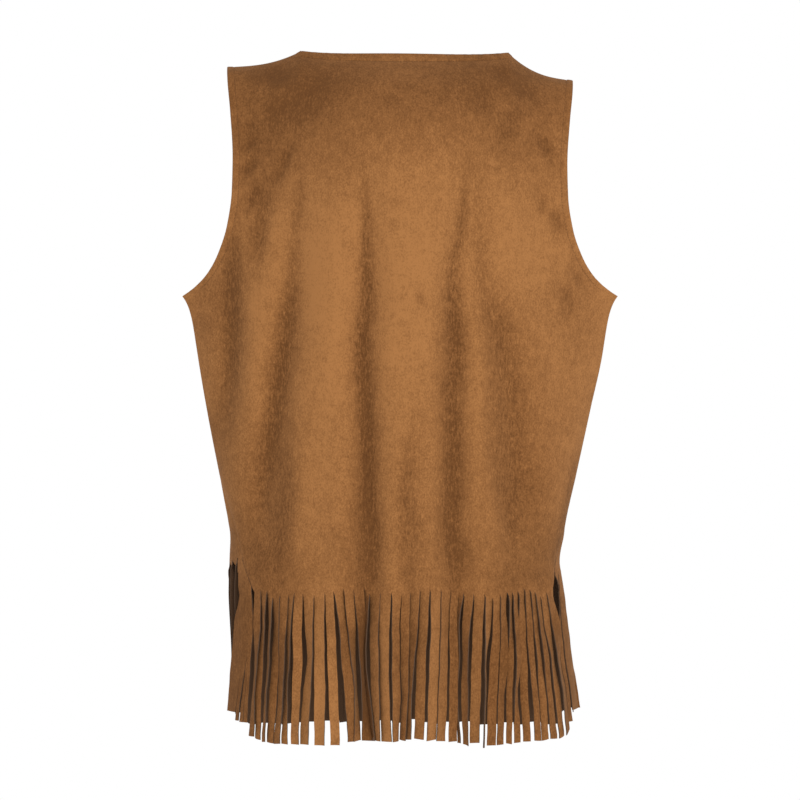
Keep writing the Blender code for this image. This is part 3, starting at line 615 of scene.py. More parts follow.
def front_strips(side):
    """Even strips with small seeded differences, then those beside the side seam."""
    seed = FRONT_SEEDS[side]
    chance = np.random.default_rng(seed)
    spreads = (TWIST_SPREAD, LONGER_SPREAD, SHADE_SPREAD)
    strips = []
    for number in range(EVEN_FRONT_STRIPS):
        twist, longer, shade = chance.normal((0, 0, EVEN_SHADE), spreads).round(2)
        lift = LIFT_STEP * (number % 2) + float(chance.uniform(-LIFT_SPREAD, LIFT_SPREAD))
        lean = LEAN_SIZE * math.sin(LEAN_PACE * number + seed)
        strips.append(EvenStrip(lean, lift, twist, longer, shade))
    for number, lean in enumerate(MIDDLE_LEANS):
        strips[number] = strips[number]._replace(lean=lean, lift=strips[number].lift + MIDDLE_LIFT[side])
    for number in range(EVEN_FRONT_STRIPS - SIDE_STRIPS, EVEN_FRONT_STRIPS):
        strips[number] = strips[number]._replace(lift=strips[number].lift + SIDE_LIFT[side])
    if side == "left":
        strips[-len(EDGE_ON_STRIPS) :] = EDGE_ON_STRIPS
    cuts, way = SEAM_CUTS[side], -SHOULDERS[side].sign
    for first, last in zip(cuts[:-1], cuts[1:]):
        strips.append(CutStrip(first, last, way, 0.0, first.longer, first.shade, True))
    return strips


FRONT_STRIPS = {side: front_strips(side) for side in FRONT_SEEDS}
FRONT_WIDTHS = {
    side: [EVEN_STRIP_WIDTH] * EVEN_FRONT_STRIPS + [cut.width for cut in cuts[:-1]]
    for side, cuts in SEAM_CUTS.items()
}
print({side: len(strips) for side, strips in FRONT_STRIPS.items()}, "strips on the fronts")

# %% [markdown]
# ## A grid that follows the cut
#
# A shell with details near its edges wants its grid lines where the details are. One could mesh evenly
# and subdivide, but a hem needs lines 1 mm apart and the middle of the back doesn't. So each row of the
# grid is measured along the cloth: some columns keep a fixed distance from an edge, for the turned hem
# and its stitch line, and the others share the rest, with one column on every cut of the fringe.

# %% Columns by measured distance along each row
EDGE_STEPS = np.array((0.0, 0.0007, 0.0018, 0.0034, 0.0050, 0.0061, 0.0069, 0.0077, 0.0086))
STITCH_STEP, STRIP_COLUMNS, EDGE_ROOM = 6, 5, 0.0012
SLANT_ROWS, MOST_STRETCH = 5, 1.6


def run_length(points, axis):
    """Distance along lines of points, from 0 at the first."""
    steps = np.linalg.norm(np.diff(points, axis=axis), axis=-1)
    start = np.zeros_like(np.take(steps, [0], axis=axis))
    return np.concatenate([start, np.cumsum(steps, axis=axis)], axis=axis)


def edge_stretch(edge, inside, levels, seam_below):
    """How much longer a step along a row is than the same step square to a slanting edge."""
    along, across = unit(np.gradient(edge, axis=0)), unit(inside - edge)
    square = np.sqrt(1 - np.sum(along * across, axis=-1) ** 2)
    stretch = np.clip(1 / square, 1, MOST_STRETCH)
    if seam_below:
        stretch = np.where(levels > 0, stretch, 1.0)
    kernel = np.ones(SLANT_ROWS) / SLANT_ROWS
    return np.convolve(np.pad(stretch, SLANT_ROWS // 2, mode="edge"), kernel, mode="valid")


def row_targets(width, shares, starting, ending):
    """Distances of one row's columns: two stepped edges, and the strips' columns in the room between."""
    cuts = np.asarray(shares) * width
    strips = zip(cuts[1:-2], cuts[2:-1])
    inner = [np.linspace(left, right, STRIP_COLUMNS, endpoint=False) for left, right in strips]
    inner = np.concatenate([*inner, cuts[-2:-1]])
    least = EDGE_STEPS[-1] * starting + EDGE_ROOM
    most = width - EDGE_STEPS[-1] * ending - EDGE_ROOM
    inner = np.interp(inner, (inner[0], inner[-1]), (max(inner[0], least), min(inner[-1], most)))
    return np.concatenate([EDGE_STEPS * starting, inner, width - EDGE_STEPS[::-1] * ending])


print("hems are stepped over", EDGE_STEPS[-1] * 1000, "mm, strips have", STRIP_COLUMNS, "columns")

# %% The columns of each strip
def strip_spans(widths):
    """First and last column of each strip; one without a width shares the columns before it."""
    parts = []
    for width in widths:
        if width:
            parts.append(1)
        else:
            parts[-1] += 1
    inner = len(EDGE_STEPS) + STRIP_COLUMNS * np.arange(len(parts) - 1)
    firsts = np.concatenate([[0], inner])
    lasts = np.concatenate([inner, [inner[-1] + len(EDGE_STEPS)]])
    spans = []
    for first, last, count in zip(firsts, lasts, parts):
        cuts = np.linspace(first, last, count + 1).round().astype(int).tolist()
        spans += zip(cuts[:-1], cuts[1:])
    return spans


back_spans = strip_spans(BACK_WIDTHS)
print("first strips span columns", back_spans[:3])

# %% Rows, closer together under a hemmed top
BACK_BODY_ROWS, BACK_YOKE_ROWS, BACK_TOP_ROWS = 80, 58, 20
FRONT_BODY_ROWS, FRONT_YOKE_ROWS, FRONT_TOP_ROWS = 74, 62, 8
TOP_LEVEL = 0.955
BLUR_ROWS, BLUR_SPREAD = 12, 5.0
SOFT_LEVELS, SOFT_EDGE_SHARE = 0.13, 0.15


def grid_levels(body_rows, yoke_rows, top_rows):
    """Levels of a panel's rows, from the slits at -1 past the underarm at 0 to the top at 1."""
    return np.concatenate([
        np.linspace(-1, 0, body_rows + 1),
        np.linspace(0, TOP_LEVEL, yoke_rows + 1)[1:],
        np.linspace(TOP_LEVEL, 1, top_rows + 1)[1:],
    ])


def softened(points, levels, share):
    """Rounds off the change from tube to yoke, except close to the edges."""
    weights = np.exp(-0.5 * (np.arange(-BLUR_ROWS, BLUR_ROWS + 1) / BLUR_SPREAD) ** 2)
    weights /= weights.sum()
    padded = np.pad(points, ((BLUR_ROWS, BLUR_ROWS), (0, 0), (0, 0)), mode="edge")
    blurred = sum(weight * padded[step : step + len(points)] for step, weight in enumerate(weights))
    amount = np.exp(-((levels[:, None] / SOFT_LEVELS) ** 2)) * ease((1 - share) / SOFT_EDGE_SHARE)
    return points + (blurred - points) * amount[..., None]


back_levels = grid_levels(BACK_BODY_ROWS, BACK_YOKE_ROWS, BACK_TOP_ROWS)
front_levels = grid_levels(FRONT_BODY_ROWS, FRONT_YOKE_ROWS, FRONT_TOP_ROWS)
print(len(back_levels), "rows on the back,", len(front_levels), "on each front")

# %% Places of the back's columns, with one on each neck point
ROW_SAMPLES, EDGE_SAMPLES = 801, 12
NECK_REACH, NECK_PULL_LEVEL, NECK_PULL_LENGTH = 0.040, 0.75, 0.2


def measured_rows(points, levels, seams, widths):
    """Distances along each row of a dense grid, and those at which the row's columns are wanted."""
    arcs = run_length(points, axis=1)
    starting = edge_stretch(points[:, 0], points[:, EDGE_SAMPLES], levels, seams[0])
    ending = edge_stretch(points[:, -1], points[:, -1 - EDGE_SAMPLES], levels, seams[1])
    shares = cut_shares(widths)
    rows = zip(arcs[:, -1], starting, ending)
    return arcs, np.array([row_targets(width, shares, first, last) for width, first, last in rows])


def places_at(targets, arcs, dense):
    """The places that lie at the wanted distances along each row."""
    return np.array([np.interp(row, arc, dense) for row, arc in zip(targets, arcs)])


def back_places():
    """The place of every grid point of the back, and the two columns that end on the neck points."""
    dense = np.linspace(-1, 1, ROW_SAMPLES)
    points = back_form(dense[None, :], back_levels[:, None])
    arcs, targets = measured_rows(points, back_levels, (True, True), BACK_WIDTHS)
    neck_columns = []
    for neck in (-LEFT.neck_x / LEFT.tip_x, RIGHT.neck_x / RIGHT.tip_x):
        neck_arc = np.array([np.interp(neck, dense, arc) for arc in arcs])
        column = int(np.argmin(np.abs(targets[-1] - neck_arc[-1])))
        pull = ease((back_levels - NECK_PULL_LEVEL) / NECK_PULL_LENGTH)
        moved = (neck_arc - targets[:, column]) * pull
        near = np.clip(1 - np.abs(targets - targets[:, [column]]) / NECK_REACH, 0, 1)
        targets = targets + moved[:, None] * near
        neck_columns.append(column)
    return places_at(targets, arcs, dense), neck_columns


places_of_back, neck_columns = back_places()
print("back grid", places_of_back.shape, "neck columns", neck_columns)

# %% Places of a front's columns
def front_places(side, shoulder):
    """The place of every grid point of a front, from its hemmed edge to the side seam."""
    dense = np.linspace(0, 1, ROW_SAMPLES)
    points = front_form(shoulder, dense[None, :], front_levels[:, None])
    arcs, targets = measured_rows(points, front_levels, (False, True), FRONT_WIDTHS[side])
    return places_at(targets, arcs, dense)


places_of_front = {side: front_places(side, shoulder) for side, shoulder in SHOULDERS.items()}
print("front grids", {side: places.shape for side, places in places_of_front.items()})

# %% [markdown]
# ## Walls, hems and seams
#
# A turned hem is a doubled edge, held by one line of topstitching: it stands a little proud, dips along
# the stitches and puckers between them. A plain seam is a valley where two pieces roll in and meet.
# Both could be bump maps, but a real edge is seen from the side too, so they are shaped in the mesh.
# Each middle point of the cloth gets an outer and an inner one along its wall direction.

# %% Directions of the wall along a seam
SEAM_STEP = 0.05


def seam_walls(sign, drops):
    """Shared wall directions along a side seam, so that back and front end on one line."""
    turn = seam_turn(sign, drops)
    along = ring_points(sign * (turn + SEAM_STEP), drops) - ring_points(sign * (turn - SEAM_STEP), drops)
    out = np.stack([along[:, 1], -along[:, 0], np.zeros(len(drops))], axis=-1) * sign
    return unit(out)


print("at the waist the side seam faces", seam_walls(1, np.array([WAIST_DROP])).round(2))

# %% Relief of hems and seams
STITCH_DISTANCE, NECK_STITCH_DISTANCE = 0.0069, 0.0104
HEM_RAISE, HEM_FLAT, HEM_FALL = 0.00045, 0.0052, 0.0014
HEM_GROOVE, GROOVE_WIDTH = 0.00055, 0.0010
PUCKER_LENGTH, SECOND_PUCKER, RAISED_PUCKER, GROOVE_PUCKER = 0.013, 1.73, 0.35, 0.25
HEM_EXTRA, HEM_DEPTH, HEM_STEP = 0.0007, 0.0074, 0.0012
SEAM_ROLL, SEAM_WIDTH = 0.0005, 0.0028


def hem_relief(distance, along):
    """Outer height of a hem: raised to the stitches, with a groove and soft puckers there."""
    raised = HEM_RAISE * (1 - ease((distance - HEM_FLAT) / HEM_FALL))
    groove = HEM_GROOVE * np.exp(-(((distance - STITCH_DISTANCE) / GROOVE_WIDTH) ** 2))
    turn = 2 * math.pi * along / PUCKER_LENGTH
    pucker = 0.5 * np.sin(turn) + 0.5 * np.sin(SECOND_PUCKER * turn + 1.0)
    return raised * (1 + RAISED_PUCKER * pucker) - groove * (1 + GROOVE_PUCKER * pucker)


def neck_hem(distance):
    """The neck's hem is wider; its distances are scaled to those of the other hems."""
    return distance * STITCH_DISTANCE / NECK_STITCH_DISTANCE


def hem_backing(distance):
    """Extra cloth inside a hem, where the edge is turned under."""
    return HEM_EXTRA * (1 - ease((distance - HEM_DEPTH) / HEM_STEP))


def seam_relief(distance):
    """A seam's two sides roll in towards it."""
    return -SEAM_ROLL * np.exp(-((distance / SEAM_WIDTH) ** 2))


print("hem relief at the stitches", round(float(hem_relief(STITCH_DISTANCE, 0.0)) * 1000, 3), "mm")

# %% Measuring how far each point lies from the edges
HEM_START_LEVEL = 0.03
Edges = namedtuple("Edges", "start end top along_side along_top")


def edge_distances(points, levels, seams):
    """Distances square to the first column's edge, the last column's edge and the top."""
    across = run_length(points, axis=1)
    upwards = run_length(points, axis=0)
    inside = len(EDGE_STEPS)
    starting = edge_stretch(points[:, 0], points[:, inside - 1], levels, seams[0])
    ending = edge_stretch(points[:, -1], points[:, -inside], levels, seams[1])
    start = across / starting[:, None]
    end = (across[:, -1:] - across) / ending[:, None]
    return Edges(start, end, upwards[-1:] - upwards, upwards, across)


def underarm_step(levels):
    """0 below the underarm, where a side edge is a seam, and 1 above it, where it is a hem."""
    return ease(levels / HEM_START_LEVEL)[:, None]


print("hems and seams change over between level 0 and", HEM_START_LEVEL)

# %% [markdown]
# ## Hanging the strips
#
# Each strip stays one with the panel at its root, which matters from close by, so the strips are grown
# from the panel's bottom row instead of being laid over it. A strip starts out on the tube and its folds.
# Lower down, those of the back keep their two edges on the cuts, as set at the four station heights, and
# turn edge-on where two cuts come close. The even strips of the fronts become plain ribbons with a lean
# and a twist. Cloth simulation could do this too, but not with each strip where it is wanted.

# %% The cloth that the strips are cut from
Tip = namedtuple("Tip", "turn drop")
FRINGE_TIPS = (
    Tip(0.00, 0.7700), Tip(0.50, 0.7715), Tip(0.66, 0.7690), Tip(0.80, 0.7560), Tip(1.00, 0.7490),
    Tip(1.06, 0.7450), Tip(1.22, 0.7480), Tip(1.29, 0.7650), Tip(1.45, 0.7675), Tip(2.00, 0.7705),
)
FORM_TURNS, FORM_DROPS = 700, 60
FORM_TOP, FORM_BOTTOM = SIDE_ROOT_DROP - 0.005, 0.800


class FringeForm:
    """The tube below the slits with its folds, which can be read at any turn and drop."""

    def __init__(self, start, end, seam_ends, folds, at_back):
        self.turns = np.linspace(start, end, FORM_TURNS)
        self.drops = np.linspace(FORM_TOP, FORM_BOTTOM, FORM_DROPS)
        ends = np.where(self.turns < 0, seam_ends[-1], seam_ends[1])
        around = np.abs(self.turns)
        share = around / ends if at_back else (2 - around) / (2 - ends)
        smooth_form = ring_points(self.turns[None, :], self.drops[:, None])
        self.points = sunk_by_folds(smooth_form, share, folds)
        self.facing = levelled(grid_normals(self.points))

    def read(self, values, turn, drop):
        """Values between the nearest lines of the stored grid."""
        turn, drop = np.broadcast_arrays(turn, drop)
        across = (turn - self.turns[0]) / (self.turns[-1] - self.turns[0]) * (FORM_TURNS - 1)
        down = (drop - self.drops[0]) / (self.drops[-1] - self.drops[0]) * (FORM_DROPS - 1)
        column = np.clip(across.astype(int), 0, FORM_TURNS - 2)
        row = np.clip(down.astype(int), 0, FORM_DROPS - 2)
        right, below = (across - column)[..., None], (down - row)[..., None]
        upper = values[row, column] * (1 - right) + values[row, column + 1] * right
        lower = values[row + 1, column] * (1 - right) + values[row + 1, column + 1] * right
        return upper * (1 - below) + lower * below

    def turn_at(self, x, drops):
        """Turns that have the wanted x at each height, on the half towards the back."""
        turns = self.turns[np.abs(self.turns) <= 1]
        found = np.zeros(x.shape)
        for row, drop in enumerate(drops.mean(axis=1)):
            line = self.read(self.points, turns, np.full(turns.shape, drop))[:, 0]
            found[row] = np.interp(x[row], np.maximum.accumulate(line), turns)
        return found


back_ends = {sign: float(seam_turn(sign, BACK_ROOT_DROP)) for sign in (-1, 1)}
front_ends = {sign: float(seam_turn(sign, SIDE_ROOT_DROP)) for sign in (-1, 1)}
back_fringe_form = FringeForm(-back_ends[-1], back_ends[1], back_ends, BACK_FOLDS, True)
print("the back's fringe is", round(float(run_length(back_fringe_form.points, 1)[8, -1]), 3), "m round")

# %% The rows of one strip
STRIP_ROWS, ROOT_SHARE = 34, 0.3
END_SLANT, END_SLANT_PACE = 0.0006, 73
StripGrid = namedtuple("StripGrid", "run drops turns natural offset")


def strip_grid(form, turns_at, roots, longer, level_end):
    """Points of a strip on the smooth form below its root, before it hangs free."""
    run = (np.arange(1, STRIP_ROWS + 1) / STRIP_ROWS)[:, None]
    root_drops = -roots[:, 2]
    root_turns = turns_at(root_drops[None, :])[0]
    tips = read(FRINGE_TIPS, "drop", np.abs(root_turns)) + longer / 1000
    reach = run_length(roots, axis=0)
    offset = reach - reach[-1] / 2
    if level_end:
        tips = np.full(tips.shape, tips.mean())
    else:
        tips = tips + END_SLANT * math.sin(END_SLANT_PACE * root_turns.mean()) * offset / offset[-1]
    drops = root_drops + (tips - root_drops) * run
    turns = turns_at(drops)
    natural = form.read(form.points, turns, drops)
    off_form = roots - form.read(form.points, root_turns, root_drops)
    natural += off_form * (1 - ease(run / ROOT_SHARE))[..., None]
    return StripGrid(run, drops, turns, natural, offset)


print("each strip has", STRIP_ROWS, "rows below its root")

# %% A ribbon along a middle line
STRIP_CURL, CURL_PACE = 0.0006, 11


def ribbon(centre, facing, across, twist, grid, widths):
    """Points of a flat strip that is turned about its middle line, and its wall directions."""
    cos, sin = np.cos(twist)[:, None], np.sin(twist)[:, None]
    flat, walls = across * cos + facing * sin, facing * cos - across * sin
    points = centre[:, None, :] + flat[:, None, :] * (widths[:, None] * grid.offset)[..., None]
    curl = STRIP_CURL * (1 - 2 * (grid.offset / grid.offset[-1]) ** 2)
    curl = curl * math.cos(CURL_PACE * grid.turns[0].mean())
    points = points + walls[:, None, :] * (curl * grid.run)[..., None]
    points[..., 2] = -grid.drops
    return points, np.broadcast_to(walls[:, None, :], points.shape)


def middle_line(form, turns, drops, lift, roots):
    """A strip's middle line on the form, lifted off it, with the directions away from it and along it."""
    centre = form.read(form.points, turns, drops)
    facing = levelled(form.read(form.facing, turns, drops))
    across = np.stack([-facing[:, 1], facing[:, 0], np.zeros(len(drops))], axis=-1)
    across *= np.sign(np.sum(across[0] * (roots[-1] - roots[0])))
    return centre + facing * (lift / 1000)[:, None], facing, across


print("curl of a strip", STRIP_CURL * 1000, "mm")

# %% An even strip of a front
EVEN_ROOT_SHARE, OVERLAP_SHARE = 0.08, 0.2


def hang_even(form, grid, roots, strip):
    """A strip that hangs straight down, but for a small lean and twist."""
    share = grid.run[:, 0]
    turned = ease(share / strip.turn_share)
    lift = strip.lift * (turned + ease(share / strip.lift_share)) / 2
    turns, drops = grid.turns.mean(axis=1), grid.drops.mean(axis=1)
    centre, facing, across = middle_line(form, turns, drops, lift, roots)
    centre = centre + across * (strip.lean / 1000 * turned)[:, None]
    widths = 1 + strip.overlap * ease(share / OVERLAP_SHARE)
    points, walls = ribbon(centre, facing, across, np.radians(strip.twist) * turned, grid, widths)
    free = ease(grid.run / min(EVEN_ROOT_SHARE, strip.turn_share / 2))[..., None]
    return grid.natural * (1 - free) + points * free, walls


print("an even strip is free after", EVEN_ROOT_SHARE, "of its length")

# %% The side of a cut
KERF, KERF_LENGTH, MOUTH_POWER = 0.0007, 0.003, 0.7
WAVER_LENGTH = 0.03
Waver = namedtuple("Waver", "size pace offset")
WAVERS = (Waver(0.00020, 125, 70), Waver(0.00012, 290, 190))


def cut_side(cut, side, natural_x, drops, free_from):
    """x of one side of a cut, row by row: on the form at first and then as set by hand."""
    wanted = [(place + side * opening / 2) / 1000 for place, opening in zip(cut.places, cut.openings)]
    start, below = np.interp(free_from, drops, natural_x), drops - free_from
    kerf = side * KERF / 2 * ease(below / KERF_LENGTH) if cut.openings[0] else 0.0
    upper = np.clip(below / (STATION_DROPS[0] - free_from), 0, 1)
    mouth = side * cut.mouth / 2000 * np.sin(math.pi * upper**MOUTH_POWER)
    waver = sum(each.size * np.sin(each.pace * drops + each.offset * wanted[0]) for each in WAVERS)
    waver = waver * ease(below / WAVER_LENGTH)
    line = smooth(drops, (free_from, *STATION_DROPS), (start, *wanted)) + kerf + mouth + waver
    return np.where(drops < free_from, natural_x, line)


print("cut edges waver by up to", sum(waver.size for waver in WAVERS) * 1000, "mm")

# %% A strip between two cuts
FREE_LENGTH, STRAIGHT_ON, LEAST_WIDTH_SHARE = 0.006, 0.25, 0.05


def hang_between(form, grid, roots, strip):
    """A strip whose edges keep to two cuts; where these come close, it turns its edge to the front."""
    free_from = np.linspace(strip.first.free_drop, strip.last.free_drop, len(roots))
    free_from = np.maximum(free_from, -roots[:, 2])
    first = cut_side(strip.first, strip.way, grid.natural[:, 0, 0], grid.drops[:, 0], free_from[0])
    last = cut_side(strip.last, -strip.way, grid.natural[:, -1, 0], grid.drops[:, -1], free_from[-1])
    if strip.follows_form:
        spread = 0.5 + 0.5 * grid.offset / grid.offset[-1]
        x = first[:, None] * (1 - spread) + last[:, None] * spread
        turns = form.turn_at(x, grid.drops)
        points = form.read(form.points, turns, grid.drops)
        walls = levelled(form.read(form.facing, turns, grid.drops))
        points[..., 0] = x
    else:
        turns = form.turn_at((first + last)[:, None] / 2, grid.drops)[:, 0]
        share, drops = grid.run[:, 0], grid.drops.mean(axis=1)
        lift = strip.lift * ease(share / LIFT_SHARE)
        centre, facing, across = middle_line(form, turns, drops, lift, roots)
        full_turn = np.arctan2(facing[:, 0], across[:, 0])
        width_share = (last - first) / (2 * grid.offset[-1])
        closing = np.arccos(np.clip(width_share, LEAST_WIDTH_SHARE, 1.0))
        way = full_turn[0] if abs(full_turn[0]) > STRAIGHT_ON else strip.lift - (OVER + UNDER) / 2
        twist = full_turn - np.sign(way) * closing
        points, walls = ribbon(centre, facing, across, twist, grid, np.ones(STRIP_ROWS))
    free = ease((grid.drops - free_from) / FREE_LENGTH)[..., None]
    return grid.natural * (1 - free) + points * free, walls


print("strips hang free below", FREE_DROP, "m")

# %% [markdown]
# ## Nap and painted shade
#
# Suede-look cloth has a short pile. Where it is brushed towards the eye it looks light and warm, and
# where it is brushed away it looks dark. That pattern is stored on the mesh as an attribute, together with
# painted shade and a painted highlight, and the material reads it. It could be painted on, or made by noise
# alone. Here its dark bands come from the folds and creases above, so that they stay together; they are
# painted shade in the troughs and creases as well as pile brushed the other way. Its broad patches are
# painted shade along the flanks and below the shoulder seams, a painted highlight along the neck's hem,
# and soft darker and lighter areas elsewhere. The tone down the garment is painted shade at the top, where
# the yoke tilts away from the light; it grows darker again towards the slits.

# %% Broad patches of darker and lighter tone, with painted shade and a painted highlight
Patch = namedtuple("Patch", "drop x half_height half_width nap")
# Darker patches along the flanks, where the sides turn away from the light, and just below the shoulder seams
# and the neck are painted shade; the other darker ones darken broad soft areas.
BACK_PATCHES = (
    Patch(0.085, -0.125, 0.060, 0.080, 0.24), Patch(0.036, -0.080, 0.026, 0.046, 0.40),
    Patch(0.022, -0.106, 0.018, 0.028, 0.34), Patch(0.108, -0.142, 0.032, 0.040, 0.30),
    Patch(0.035, 0.095, 0.026, 0.050, 0.34), Patch(0.050, 0.062, 0.032, 0.030, 0.28),
    Patch(0.028, 0.134, 0.016, 0.024, 0.36), Patch(0.110, 0.138, 0.030, 0.030, 0.30),
    Patch(0.540, 0.118, 0.060, 0.025, 0.16), Patch(0.585, -0.150, 0.034, 0.036, 0.30),
    Patch(0.185, -0.160, 0.060, 0.020, 0.30), Patch(0.275, 0.195, 0.040, 0.040, 0.16),
    Patch(0.290, -0.215, 0.050, 0.024, 0.40), Patch(0.450, -0.185, 0.080, 0.030, 0.10),
    Patch(0.510, 0.152, 0.100, 0.020, 0.26), Patch(0.380, 0.170, 0.150, 0.050, 0.12),
    Patch(0.580, 0.165, 0.050, 0.026, 0.48), Patch(0.585, 0.122, 0.032, 0.030, 0.30),
    Patch(0.560, -0.047, 0.110, 0.013, 0.26), Patch(0.605, -0.145, 0.022, 0.035, 0.28),
    Patch(0.570, -0.180, 0.050, 0.020, 0.24), Patch(0.450, 0.016, 0.060, 0.018, 0.14),
    Patch(0.600, 0.015, 0.030, 0.022, 0.20), Patch(0.500, 0.150, 0.080, 0.016, 0.14),
    Patch(0.285, -0.190, 0.060, 0.018, 0.18), Patch(0.355, 0.044, 0.050, 0.010, 0.22),
    Patch(0.290, 0.118, 0.050, 0.022, 0.14), Patch(0.300, -0.135, 0.030, 0.014, 0.26),
    Patch(0.335, 0.150, 0.040, 0.040, 0.12), Patch(0.300, 0.200, 0.100, 0.018, 0.18),
    Patch(0.420, -0.206, 0.050, 0.014, 0.30), Patch(0.030, -0.150, 0.013, 0.026, 0.80),
    Patch(0.012, -0.108, 0.012, 0.014, 0.60), Patch(0.030, 0.138, 0.013, 0.020, 0.70),
    Patch(0.030, 0.075, 0.018, 0.045, 0.36), Patch(0.020, -0.142, 0.014, 0.030, 0.30),
    Patch(0.600, 0.124, 0.018, 0.016, 0.30), Patch(0.575, -0.168, 0.030, 0.014, 0.24),
    Patch(0.580, -0.056, 0.040, 0.016, 0.16), Patch(0.430, 0.140, 0.022, 0.016, 0.16),
    # lighter ones, first a painted highlight along the neck's raised hem
    Patch(0.0115, 0.005, 0.0050, 0.085, -0.60),
    Patch(0.270, -0.098, 0.070, 0.014, -0.14), Patch(0.195, -0.150, 0.016, 0.012, -0.26),
    Patch(0.255, 0.062, 0.030, 0.012, -0.18), Patch(0.500, -0.018, 0.100, 0.012, -0.12),
    Patch(0.385, -0.150, 0.040, 0.040, -0.10), Patch(0.475, 0.122, 0.030, 0.014, -0.14),
    Patch(0.282, -0.027, 0.035, 0.012, -0.16), Patch(0.280, 0.071, 0.035, 0.012, -0.14),
    Patch(0.420, -0.142, 0.020, 0.012, -0.18), Patch(0.570, -0.009, 0.035, 0.010, -0.16),
    Patch(0.372, -0.186, 0.026, 0.012, -0.18), Patch(0.340, -0.072, 0.050, 0.016, -0.12),
)
# The last one is painted shade along the left flank, where the side turns away from the light.
FRONT_PATCHES = (
    Patch(0.070, -0.140, 0.045, 0.050, 0.30), Patch(0.070, 0.140, 0.045, 0.050, 0.26),
    Patch(0.300, -0.130, 0.060, 0.050, 0.18), Patch(0.330, 0.110, 0.070, 0.050, 0.16),
    Patch(0.560, -0.100, 0.060, 0.080, 0.20), Patch(0.570, 0.110, 0.050, 0.080, 0.18),
    Patch(0.550, -0.185, 0.030, 0.014, 0.35),
)
# Painted shade down the garment: darkest at the top, where the yoke tilts away from the light, lightest a
# little above the underarm, and darker again towards the slits.
PAINTED_SHADE_BY_DROP = (
    (0.00, 0.65), (0.05, 0.63), (0.08, 0.52), (0.11, 0.37), (0.15, 0.23), (0.19, 0.10),
    (0.23, 0.00), (0.29, 0.03), (0.36, 0.08), (0.43, 0.16), (0.50, 0.22), (0.62, 0.27),
)
print(len(BACK_PATCHES), "broad patches on the back,", len(FRONT_PATCHES), "on the fronts")

# %% The nap of a panel
DARK_BAND_END_LENGTH, DARK_BAND_RISE_POWER = 0.120, 0.6
BAND_START, BAND_GAIN = 0.58, 0.66
BAND_CORE, BAND_HALO, BAND_STEEPNESS, BAND_POWER = 0.80, 0.20, 1.2, 2.3


def shade_and_nap_of(points, folds, creases, patches):
    """Darkness of each point, nap and painted shade together, from 0 to about 1: ragged bands, then broad
    tone.
    """
    x, drop = points[..., 0], -points[..., 2]
    band, tone = np.ones(x.shape), 1 - smooth(drop, *zip(*PAINTED_SHADE_BY_DROP))
    for fold in folds:
        off, strength = fold_trace(fold, x, drop, fold.nap_start, fold.nap_fade)
        off = np.abs(off) / (fold.nap_width * (BAND_START + BAND_GAIN * strength))
        shape = BAND_CORE * np.exp(-BAND_STEEPNESS * off**BAND_POWER) + BAND_HALO * np.exp(-((off / 2) ** 2))
        ending = ease((fold.nap_end - drop) / DARK_BAND_END_LENGTH)
        band *= 1 - fold.nap * strength**DARK_BAND_RISE_POWER * ending * shape
    for crease in creases:
        band *= 1 - crease.nap * crease_trace(crease, x, drop)
    for patch in patches:
        off = ((drop - patch.drop) / patch.half_height) ** 2 + ((x - patch.x) / patch.half_width) ** 2
        tone *= 1 - patch.nap * np.exp(-off)
    return np.stack([1 - band, 1 - tone], axis=-1)


print("a nap has two layers: bands in the folds and creases, and a broad tone")

# %% [markdown]
# ## Sewing the shell together
#
# The outer surface, the inner surface, the rims, the strips and their cut edges become one closed mesh,
# so that each piece of cloth is a single watertight object. Solidify could add the thickness, but it
# would also round the slits' tops and swell the hems evenly. Building the faces from index grids keeps
# each edge as it is on the real garment: rolled at a hem, flat at a cut.

# %% Faces from grids of point numbers
def grid_faces(index):
    """Four-sided faces between neighbouring points of a grid of point numbers."""
    corners = (index[:-1, :-1], index[:-1, 1:], index[1:, 1:], index[1:, :-1])
    return np.stack([corner.ravel() for corner in corners], axis=1)


def ladder_faces(first, second):
    """Faces between two lines of point numbers."""
    return np.stack([first[:-1], first[1:], second[1:], second[:-1]], axis=1)


print("a grid of 3 x 3 points has", len(grid_faces(np.arange(9).reshape(3, 3))), "faces")

# %% Gathering the points and faces of one piece
SHARP_ANGLE = 55


def into_scene(name, data):
    """A new object at the origin, linked to the scene."""
    thing = bpy.data.objects.new(name, data)
    bpy.context.scene.collection.objects.link(thing)
    return thing


